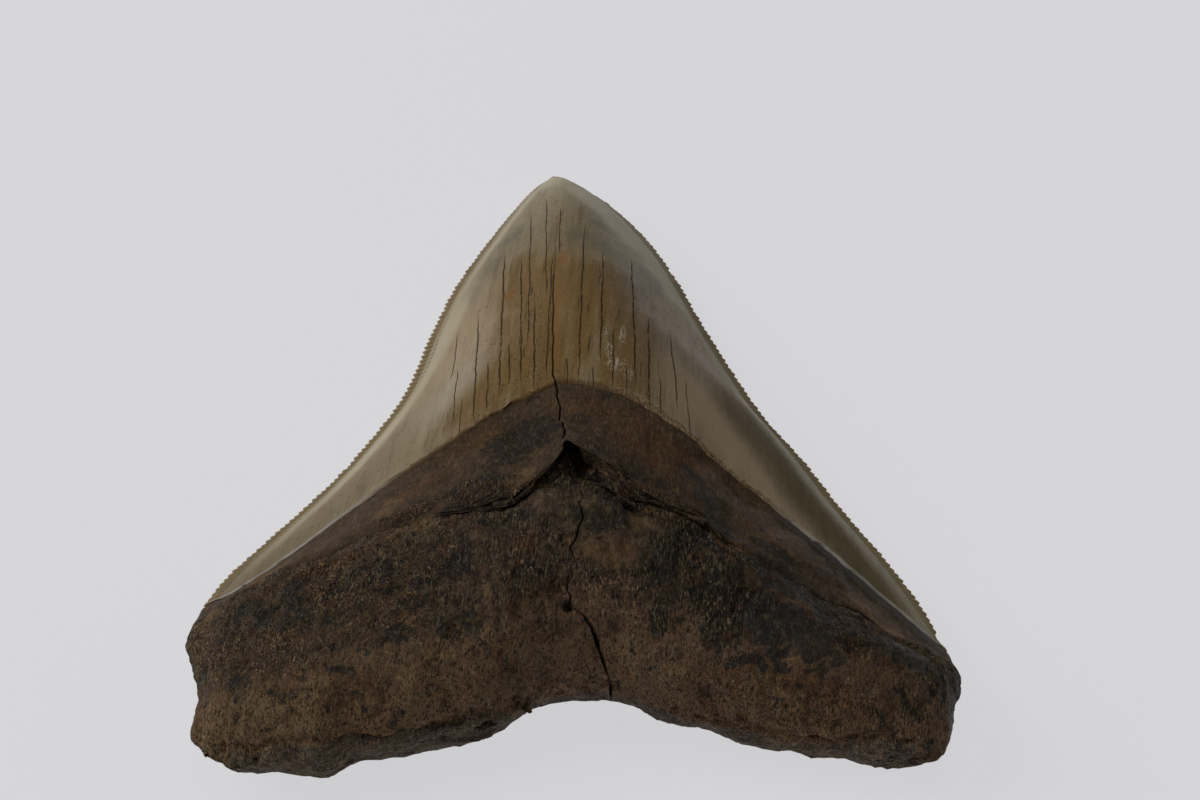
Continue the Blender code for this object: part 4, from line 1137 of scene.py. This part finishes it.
def thin_crack_mask(tree, drying_crack, place, fine):
    """All the thin drying cracks of the crown, crooked, broken here and there, and ragged."""
    wiggle = noise(tree, vector_calc(tree, "MULTIPLY", place, (0.3, 1, 0.3)), 1.3, 6, 0.9)
    wiggle = calc(tree, "MULTIPLY", calc(tree, "SUBTRACT", wiggle, 0.5), 0.55)
    wiggle = node(tree, "CombineXYZ", {0: wiggle}).outputs[0]
    crooked = vector_calc(tree, "ADD", place, wiggle)
    thin = []
    for number, (low_x, low_y, high_x, high_y, width) in enumerate(THIN_CRACKS):
        inputs = {
            "Place": crooked,
            "Lower x": low_x,
            "Lower y": low_y - 1.0,
            "Upper y": high_y + 1.0,
            "Slope": (high_x - low_x) / (high_y - low_y),
            "Width": 0.85 * width,
            "Wander": 0.06,
            "Phase": 1.7 * number,
        }
        thin.append(use(tree, drying_crack, inputs)["Mask"])
    broken = noise(tree, vector_calc(tree, "MULTIPLY", place, (0.6, 1, 0.6)), 1.6, 4, 0.8)
    inputs = {"Value": broken, "From Min": 0.34, "From Max": 0.52, "To Min": 0.35}
    thin = calc(tree, "MULTIPLY", joined(tree, thin), node(tree, "MapRange", inputs).outputs[0])
    return calc(tree, "MULTIPLY", thin, calc(tree, "MULTIPLY_ADD", fine, 0.7, 0.6), clamp=True)


def enamel_material(grain, drying_crack):
    """Fossil enamel: ochre along the middle, olive grey beside it, clouded near the tip and cracked, with
    painted light on the tip, the left flank and the rims, a painted highlight at the margin's edge, and
    painted shade low on the right, along the flanks and at the margin.
    """
    made, tree, shader = new_material("enamel")
    place, scaled, layered, fibres = work_kit(tree, grain)
    up = node(tree, "SeparateXYZ", {0: place}).outputs[1]
    edge, crack, across, above = (field(tree, name) for name in ("edge", "crack", "across", "above"))
    ochre, pale, cloud, rust, scuff, speckle = (field(tree, name) for name in CROWN_STAINS)
    clouds = noise(tree, vector_calc(tree, "MULTIPLY", place, (1, 0.5, 0.6)), 8.0, 5, 0.55, 0.5)
    soft = calc(tree, "SUBTRACT", clouds, 0.5)
    streaks = fibres((3, 0, 0), (1, 0.07, 0.3), 1.6, 0.0, 1.6)
    threads = fibres((0, 40, 0), (1, 0.05, 0.3), 0.5, 0.0, 1.8)
    mottle = fibres((9, 9, 9), (1, 0.7, 1), 1.1, 0.6, 1.8)
    uneven = calc(tree, "SUBTRACT", mottle, 0.5)
    fine = fibres((0, 0, 0), (1, 0.6, 1), 0.28, 0.0, 2.0)

    # The ground tone runs from the root's corners to the tip, with the ochre middle over it. Its pale top at
    # the tip is partly painted light, and the lower right side is darker, partly its own olive and partly
    # painted shade.
    height = calc(tree, "MULTIPLY_ADD", soft, 14.0, up)
    share = node(tree, "MapRange", {"Value": height, "From Min": -36.0, "From Max": 60.0}).outputs[0]
    ground = (
        (0.0, (140, 127, 102)),
        (0.30, (150, 133, 105)),
        (0.60, (160, 139, 110)),
        (0.76, (140, 128, 103)),
        (0.88, (152, 141, 116)),
        # palest stop, at the tip: partly painted light
        (1.0, (190, 180, 156)),
    )
    right = step(tree, across, 0.0, 0.3)
    # painted shade, in part: the lower right side darker, besides the enamel's own olive
    shaded = scaled(right, step(tree, up, 34.0, 22.0))
    tone = layered(ramp(tree, share, ground), ((shaded, 0.75, (137, 121, 95)),))
    warm = calc(tree, "MULTIPLY_ADD", soft, 1.6, ochre)
    warm = calc(tree, "MULTIPLY_ADD", calc(tree, "SUBTRACT", streaks, 0.5), 0.5, warm)
    ochre_tone = blend(tree, right, colour((121, 94, 52)), colour((114, 94, 68)))
    tone = blend(tree, scaled(step(tree, warm, -0.05, 0.85), 0.95), tone, ochre_tone)

    # Streaks and mottling, then the pale, clouded and rusty places. The pale places near the tip, the paler
    # right side of the tip and the paler left flank are partly the enamel's own tone and partly painted
    # light.
    misty = calc(tree, "MULTIPLY_ADD", soft, 1.6, cloud)
    rusty = calc(tree, "MULTIPLY_ADD", uneven, 0.6, rust)
    hatched = scaled(step(tree, threads, 0.70, 0.82), step(tree, warm, 0.1, 0.8))
    pale_and_lit_tip = scaled(step(tree, up, 26.0, 42.0), step(tree, across, 0.1, 0.45))
    pale_and_lit_flank = scaled(step(tree, across, -0.40, -0.62), step(tree, up, -12.0, 6.0), step(tree, up, 34.0, 22.0))
    tone = layered(
        tone,
        (
            (step(tree, streaks, 0.5, 0.85), 0.40, (92, 74, 50)),
            (step(tree, streaks, 0.5, 0.12), 0.30, (160, 146, 118)),
            (step(tree, threads, 0.56, 0.9), 0.40, (84, 66, 40)),
            (hatched, 0.75, (60, 45, 26)),
            (step(tree, mottle, 0.55, 0.9), 0.30, (104, 88, 60)),
            (step(tree, fine, 0.40, 0.05), 0.42, (76, 60, 38)),
            (step(tree, fine, 0.62, 0.95), 0.22, (196, 184, 156)),
            (pale, 0.65, (206, 198, 176)),
            (step(tree, misty, 0.1, 1.0), 0.58, (98, 100, 84)),
            # partly painted light: the right side of the tip paler
            (pale_and_lit_tip, 0.45, (186, 176, 154)),
            (step(tree, rusty, 0.2, 1.0), 0.65, (134, 88, 42)),
            # partly painted light: the left flank paler
            (pale_and_lit_flank, 0.25, (204, 186, 160)),
        ),
    )

    # A dark band runs along each flank low down, with a pale one inside it on the right. The dark band is
    # partly the enamel's own olive brown and partly painted shade of the flattened flank, and the pale one
    # is partly painted light.
    low = step(tree, calc(tree, "MULTIPLY_ADD", soft, 10.0, up), 16.0, -2.0)
    band_end = step(tree, calc(tree, "MULTIPLY_ADD", soft, 5.0, edge), 12.0, 7.0)
    dark_and_shade_band = scaled(step(tree, edge, 2.4, 5.0), band_end, low, calc(tree, "MULTIPLY_ADD", right, 0.48, 0.20))
    dark_and_shade_band = scaled(dark_and_shade_band, calc(tree, "MULTIPLY_ADD", step(tree, up, -40.0, -20.0), 0.7, 0.3))
    inner = scaled(step(tree, edge, 9.0, 12.0), step(tree, edge, 20.0, 14.0), right, low)
    tone = layered(tone, ((inner, 0.5, (178, 160, 132)), (dark_and_shade_band, 1.0, (78, 68, 42))))
    cool = scaled(step(tree, warm, 0.5, 0.1), 0.3)
    tone = blend(tree, cool, tone, colour((230, 224, 200)), "MULTIPLY")

    # The rims beside the cutting edges, paler partly as painted sheen, the enamel's lower margin with its
    # brown band, partly painted shade, a painted highlight along its edge at the sides, the dots and the
    # scuffs.
    # rim: the band beside each cutting edge, paler partly as its own pale tone and partly as painted sheen
    rim = scaled(step(tree, edge, 0.7, 1.3), step(tree, edge, 3.2, 1.8))
    left = calc(tree, "SUBTRACT", 1.0, right)
    ragged = calc(tree, "MULTIPLY_ADD", uneven, 2.0, above)
    side = calc(tree, "ABSOLUTE", across)
    at_side = step(tree, side, 0.45, 0.70)
    # margin: brown band along the enamel's margin, partly its own stain and partly painted shade
    margin = scaled(step(tree, ragged, 0.8, 0.1), calc(tree, "MULTIPLY_ADD", at_side, -0.5, 0.75))
    chips = scaled(step(tree, fine, 0.5, 0.62), step(tree, ragged, 1.4, 0.3))
    chips = scaled(chips, step(tree, across, 0.0, 0.12), step(tree, side, 0.75, 0.5))
    tone = layered(
        tone,
        (
            (scaled(rim, right), 0.4, (166, 162, 132)),
            (scaled(rim, left, step(tree, up, -38.0, -16.0)), 0.6, (198, 186, 158)),
            (scaled(left, step(tree, up, -12.0, -34.0)), 0.4, (104, 90, 68)),
            (margin, 1.0, (90, 64, 35)),
            # painted highlight: a pale line along the enamel's edge just above the margin, at the sides
            (scaled(step(tree, above, 0.42, 0.2), at_side), 0.6, (190, 186, 176)),
            (chips, 0.5, (168, 150, 116)),
        ),
    )
    dots = step(tree, cells(tree, place, 0.85), 0.20, 0.10)
    dots = scaled(dots, step(tree, calc(tree, "MULTIPLY_ADD", soft, 1.2, speckle), 0.15, 0.9))
    small = step(tree, cells(tree, vector_calc(tree, "ADD", place, (4, 4, 4)), 0.5), 0.20, 0.10)
    small = scaled(small, step(tree, calc(tree, "MULTIPLY_ADD", soft, 2.4, speckle), 0.5, 1.1))
    dots = joined(tree, [dots, small])
    marks = scaled(step(tree, scuff, 0.1, 1.0), step(tree, joined(tree, [fine, threads]), 0.5, 0.75))

    # The cracks, and last the beads of the cutting edges and the gaps between them.
    thin = thin_crack_mask(tree, drying_crack, place, fine)
    narrow = step(tree, thin, 0.3, 0.85)
    bead = field(tree, "bead")
    gap = scaled(step(tree, bead, 1.6, 1.15), step(tree, bead, 0.5, 0.9))
    worn = step(tree, calc(tree, "MULTIPLY_ADD", right, 14.0, up), 30.0, 46.0)
    crest = scaled(step(tree, edge, 1.15, 0.7), calc(tree, "MULTIPLY_ADD", worn, -0.8, 0.85))
    knob = scaled(step(tree, bead, 1.7, 1.98), step(tree, edge, 0.9, 0.4))
    tone = layered(
        tone,
        (
            (dots, 0.8, (56, 41, 24)),
            (marks, 0.8, (198, 188, 168)),
            (step(tree, thin, 0.0, 0.45), 0.5, (100, 74, 42)),
            (narrow, 0.9, (50, 33, 18)),
            (scaled(crack, step(tree, fine, 0.0, 0.35)), 0.94, (34, 23, 13)),
            (crest, 1.0, (146, 127, 93)),
            (gap, 0.85, (52, 41, 27)),
            (knob, 0.65, (160, 140, 102)),
        ),
    )
    tree.links.new(tone, shader.inputs["Base Color"])
    rough = calc(tree, "MULTIPLY_ADD", dark_and_shade_band, 0.55, calc(tree, "MULTIPLY_ADD", mottle, 0.14, 0.40))
    rough = calc(tree, "MULTIPLY_ADD", joined(tree, [narrow, gap]), 0.3, rough)
    tree.links.new(rough, shader.inputs["Roughness"])
    shader.inputs["Specular IOR Level"].default_value = 0.13
    relief = calc(tree, "MULTIPLY_ADD", threads, 0.16, scaled(fine, 0.10))
    relief = calc(tree, "SUBTRACT", relief, joined(tree, [narrow, scaled(dots, 0.5)]))
    bump = node(tree, "Bump", {"Strength": 0.8, "Distance": 0.0003, "Height": relief})
    tree.links.new(bump.outputs[0], shader.inputs["Normal"])
    return made


def root_material(grain):
    """Weathered root: fibrous brown bone, cleaner and redder at the base, slate and sooty in places, with
    painted light on the left side, the base and the foot, painted shade on the neck, under the ledge's lip
    and in the grit's pits, and painted highlights and glints on the grit.

    The neck above the ledge is worn smooth, and the foot along the base is layered.
    """
    made, tree, shader = new_material("root bone")
    place, scaled, layered, fibres = work_kit(tree, grain)
    across = node(tree, "SeparateXYZ", {0: place}).outputs[0]
    names = ("relief", "crack", "neck", "under", "clean_and_lit")
    relief, crack, neck, under, clean_and_lit = (field(tree, name) for name in names)
    slate, soot_and_shade, tan, rust, plum, smooth, coarse = (field(tree, name) for name in ROOT_STAINS)
    broad = noise(tree, place, 9.0, 5, 0.6, 0.6)
    patches = noise(tree, vector_calc(tree, "ADD", place, (31, 7, 11)), 3.4, 5, 0.65, 0.8)
    clumps = noise(tree, vector_calc(tree, "ADD", place, (5, 70, 2)), 1.9, 4, 0.6, 0.5)
    worms = fibres((0, 0, 0), (1, 0.75, 0.8), 0.25, 0.8, 3.4)
    hairs = fibres((17, 3, 5), (1, 0.24, 0.5), 0.24, 0.3, 3.2)
    grit = fibres((2, 8, 1), (1, 1, 1), 0.2, 0.0, 2.6)
    ragged = calc(tree, "MULTIPLY_ADD", clumps, 0.7, calc(tree, "SUBTRACT", patches, 0.85))

    def stained(mask, strength, low, high):
        """A stain with a ragged border."""
        return step(tree, calc(tree, "MULTIPLY_ADD", ragged, strength, mask), low, high)

    # Where the bone is slick, smooth or rough, and which way its strands run.
    slick = joined(tree, [stained(slate, 3.2, 0.40, 0.64), scaled(step(tree, patches, 0.60, 0.65), 0.6)])
    on_neck = scaled(neck, calc(tree, "SUBTRACT", 1.0, stained(coarse, 1.4, 0.3, 0.7)))
    worn = joined(tree, [on_neck, scaled(slick, 0.5), stained(smooth, 1.6, 0.3, 0.8)])
    rough = calc(tree, "MULTIPLY_ADD", worn, -0.82, 1.0)
    bony = calc(tree, "SUBTRACT", 1.0, scaled(joined(tree, [neck, clean_and_lit]), 0.8))
    middle = step(tree, calc(tree, "ABSOLUTE", calc(tree, "SUBTRACT", across, 6.0)), 30.0, 14.0)
    upright = joined(tree, [scaled(middle, 0.8), scaled(clean_and_lit, 0.8), step(tree, clumps, 0.52, 0.6)])
    strands = calc(tree, "MULTIPLY_ADD", upright, calc(tree, "SUBTRACT", hairs, worms), worms)

    # The bone's own browns and its stained places. The lighter left side is painted light, the paler base
    # band and foot are partly painted light, and the darker neck and the soot_and_shade places are partly
    # painted shade.
    foot = stained(field(tree, "foot"), 0.6, 0.35, 0.65)
    browns = ((0.30, (46, 37, 27)), (0.45, (67, 53, 37)), (0.58, (90, 69, 47)), (0.72, (114, 90, 60)))
    tone = layered(
        ramp(tree, broad, browns),
        (
            # painted light: the left side lighter
            (step(tree, across, 22.0, -16.0), 0.28, (136, 113, 90)),
            (step(tree, patches, 0.56, 0.64), 0.30, (142, 112, 78)),
            (scaled(step(tree, patches, 0.46, 0.36), bony), 0.5, (30, 25, 18)),
            # partly painted light: cleaner, paler bone by the base
            (stained(clean_and_lit, 1.4, 0.15, 0.8), 0.8, (141, 111, 82)),
            (stained(rust, 2.2, 0.2, 0.9), 0.5, (114, 72, 36)),
            (stained(tan, 1.8, 0.2, 0.85), 0.65, (162, 130, 92)),
            (stained(plum, 1.4, 0.2, 0.8), 0.75, (98, 82, 70)),
            # sooty bone and painted shade under the ledge's lip
            (stained(soot_and_shade, 2.2, 0.25, 0.8), 0.86, (27, 23, 16)),
            (slick, 0.88, (32, 31, 26)),
            # the neck darker, partly its own darker brown and partly painted shade
            (scaled(neck, step(tree, across, 24.0, 12.0)), 0.42, (46, 32, 17)),
            # the foot's own layered grey, painted paler as painted light on its steep shaded wall
            (foot, 0.85, (118, 104, 88)),
        ),
    )

    # Strands and grit: pale tops, partly painted highlight, duller in the middle and in patches, and dark
    # gaps, partly painted shade. Then painted shade and highlight on the pits and tops of the grit, and
    # painted glints.
    dull = step(tree, calc(tree, "MULTIPLY_ADD", middle, 0.12, broad), 0.48, 0.60)
    # high: pale tops of the strands, partly the bone's own pale fibres and partly painted highlight
    high = scaled(step(tree, strands, 0.56, 0.82), step(tree, clumps, 0.34, 0.52), rough)
    light = blend(tree, dull, colour((190, 156, 112)), colour((136, 129, 102)))
    tone = blend(tree, scaled(high, 0.78), tone, light)
    ends = scaled(step(tree, hairs, 0.62, 0.92), step(tree, clumps, 0.60, 0.42), rough)
    veil = fibres((4, 2, 9), (1, 0.5, 0.6), 0.7, 0.4, 2.4)
    layers = step(tree, fibres((0, 0, 0), (0.12, 0.12, 1.0), 0.30, 0.2, 2.6), 0.4, 0.75)
    seams = step(tree, fibres((5, 5, 5), (0.1, 0.1, 1.0), 0.42, 0.2, 3.0), 0.4, 0.1)
    lines = step(tree, fibres((0, 0, 0), (0.25, 1.3, 0.6), 0.8, 0.0, 2.2), 0.55, 0.8)
    strokes = step(tree, fibres((7, 1, 0), (1, 0.3, 0.5), 0.34, 0.3, 3.0), 0.5, 0.2)
    lip = step(tree, calc(tree, "MULTIPLY_ADD", ragged, 2.0, under), 1.9, 1.2)
    # painted glints: bright specks in clumps, and bluish ones on the patches
    painted_sparks = scaled(step(tree, cells(tree, place, 1.0), 0.13, 0.07), step(tree, clumps, 0.46, 0.58))
    glints = step(tree, cells(tree, vector_calc(tree, "ADD", place, (8, 3, 6)), 0.6), 0.24, 0.12)
    glints = scaled(glints, step(tree, patches, 0.54, 0.62), step(tree, clumps, 0.46, 0.56))
    dust = scaled(step(tree, grit, 0.82, 0.98), step(tree, clumps, 0.5, 0.7))
    tone = layered(
        tone,
        (
            (ends, 0.5, (150, 96, 52)),
            # dark gaps between the strands, partly painted shade
            (scaled(step(tree, strands, 0.44, 0.14), rough), 0.85, (16, 14, 10)),
            # painted shade: darker in the pits of the grit
            (scaled(step(tree, relief, 0.36, 0.0), rough), 0.45, (20, 16, 12)),
            # painted highlight: lighter on the tops of the grit
            (scaled(step(tree, relief, 0.58, 0.95), rough), 0.35, (144, 114, 78)),
            (step(tree, veil, 0.5, 0.15), 0.22, (30, 24, 16)),
            (step(tree, veil, 0.55, 0.9), 0.16, (150, 124, 88)),
            (scaled(layers, foot), 0.5, (136, 122, 104)),
            (scaled(seams, foot), 0.6, (24, 20, 15)),
            (scaled(lines, neck, step(tree, under, 5.5, 2.5)), 0.4, (40, 32, 28)),
            (scaled(strokes, neck), 0.22, (24, 18, 12)),
            (scaled(lip, step(tree, across, 24.0, 32.0), neck), 0.7, (88, 84, 84)),
            # painted glints
            (scaled(painted_sparks, rough), 0.85, (206, 194, 172)),
            (scaled(glints, rough), 0.6, (150, 154, 158)),
            (scaled(dust, rough), 0.6, (172, 152, 120)),
            (crack, 0.97, (14, 12, 10)),
        ),
    )
    tree.links.new(tone, shader.inputs["Base Color"])
    tree.links.new(calc(tree, "MULTIPLY_ADD", slick, -0.24, 0.74), shader.inputs["Roughness"])
    shader.inputs["Specular IOR Level"].default_value = 0.2
    depth = calc(tree, "MULTIPLY_ADD", grit, 0.35, calc(tree, "MULTIPLY_ADD", hairs, 0.4, strands))
    inputs = {"Strength": 0.9, "Distance": 0.0005, "Height": scaled(depth, rough)}
    fine = node(tree, "Bump", inputs).outputs[0]
    folds = calc(tree, "SUBTRACT", fibres((3, 9, 4), (1, 1.5, 1), 2.2, 1.0, 2.0), 0.5)
    folds = scaled(calc(tree, "ABSOLUTE", folds), rough)
    inputs = {"Strength": 0.7, "Distance": 0.0010, "Height": folds, "Normal": fine}
    tree.links.new(node(tree, "Bump", inputs).outputs[0], shader.inputs["Normal"])
    return made


# ---- floor, light and camera -----------------------------------------------------------------


# The floor lies a hair under the tooth, so that the two don't share a plane. The camera looks at a
# place on it, turned a little to the left, from this far away.
FLOOR_LEVEL = -0.0001
CAMERA_TARGET = (-0.12, 14.48, 0.0)
CAMERA_TURN, CAMERA_TILT = np.radians(4.2), np.radians(50.0)
CAMERA_DISTANCE = 363.4


def add_floor():
    """A pale level floor, a square grid far wider than the tooth."""
    line = np.linspace(-3.0, 3.0, 13)
    x, y = np.meshgrid(line, line)
    at_row, at_column = grid_quads(len(line), len(line) - 1)
    faces = at_row * len(line) + at_column
    mesh = bpy.data.meshes.new("floor")
    mesh.from_pydata(np.stack([x, y, x * 0 + FLOOR_LEVEL], axis=-1).reshape(-1, 3), [], faces.tolist())
    floor = new_object("floor", mesh)
    made, _, shader = new_material("pale floor")
    shader.inputs["Base Color"].default_value = (0.14, 0.138, 0.14, 1)
    shader.inputs["Roughness"].default_value = 0.9
    shader.inputs["Specular IOR Level"].default_value = 0.0
    shader.inputs["Emission Color"].default_value = (0.98, 0.97, 1.0, 1)
    shader.inputs["Emission Strength"].default_value = 0.62
    mesh.materials.append(made)


def stand(obj, place, back):
    """Puts a light or the camera in its place, with its back turned this way."""
    obj.location = place
    obj.rotation_mode = "QUATERNION"
    obj.rotation_quaternion = Vector(back).to_track_quat("Z", "Y")


def add_light(name, place, size, power):
    """A square softbox that faces the tooth's middle."""
    data = bpy.data.lights.new(name, "AREA")
    data.shape, data.size, data.energy = "SQUARE", size, power
    stand(new_object(name, data), place, place)


def light_the_room():
    world = bpy.data.worlds.new("studio")
    bpy.context.scene.world = world
    world.use_nodes = True
    sky = world.node_tree.nodes["Background"]
    sky.inputs["Color"].default_value = (0.96, 0.96, 1.0, 1)
    sky.inputs["Strength"].default_value = 0.05
    add_light("left softbox", (-1.05, 0.15, 0.75), 0.8, 9.0)
    add_light("top softbox", (0.0, 0.3, 1.4), 0.7, 2.5)
    add_light("right softbox", (1.1, 0.3, 0.7), 0.6, 1.0)
    bpy.context.scene.view_settings.view_transform = "Standard"


def add_camera():
    data = bpy.data.cameras.new("camera")
    data.lens, data.sensor_width = 70.0, 36.0
    data.clip_start, data.clip_end = 0.01, 10.0
    level = np.array((np.sin(CAMERA_TURN), -np.cos(CAMERA_TURN), 0)) * np.cos(CAMERA_TILT)
    back = level + (0, 0, np.sin(CAMERA_TILT))
    obj = new_object("camera", data)
    stand(obj, (np.array(CAMERA_TARGET) + CAMERA_DISTANCE * back) * MM, back)
    bpy.context.scene.camera = obj


# ---- the tooth -------------------------------------------------------------------------------


def build(box):
    """Makes the pieces and scales them together to the solid's box."""
    low, high = (np.array(corner) for corner in box)
    made = {
        "crown": crown_surface(),
        "root": root_surface(),
        "left_cutting_edge": edge_surface(-1),
        "right_cutting_edge": edge_surface(1),
    }
    everything = np.vstack([points for points, *_ in made.values()])
    least, most = everything.min(axis=0), everything.max(axis=0)
    least[1], most[0] = LOWEST_Y, GREATEST_X
    scale = (high - low) / (most - least)
    grain = grain_group()
    enamel = enamel_material(grain, drying_crack_group())
    bone = root_material(grain)
    for name, (points, faces, uv, fields) in made.items():
        obj = mesh_object(name, low + (points - least) * scale, faces, uv, fields)
        obj.data.materials.append(bone if name == "root" else enamel)
        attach(obj, "root")
        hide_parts("tooth")


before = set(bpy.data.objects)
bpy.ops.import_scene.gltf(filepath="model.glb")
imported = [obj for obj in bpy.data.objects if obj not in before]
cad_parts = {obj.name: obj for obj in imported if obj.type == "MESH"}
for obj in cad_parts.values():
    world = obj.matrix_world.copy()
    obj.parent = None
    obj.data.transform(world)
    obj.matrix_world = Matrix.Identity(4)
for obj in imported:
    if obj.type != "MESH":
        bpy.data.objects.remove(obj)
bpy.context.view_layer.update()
build(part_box("tooth"))
add_floor()
light_the_room()
add_camera()
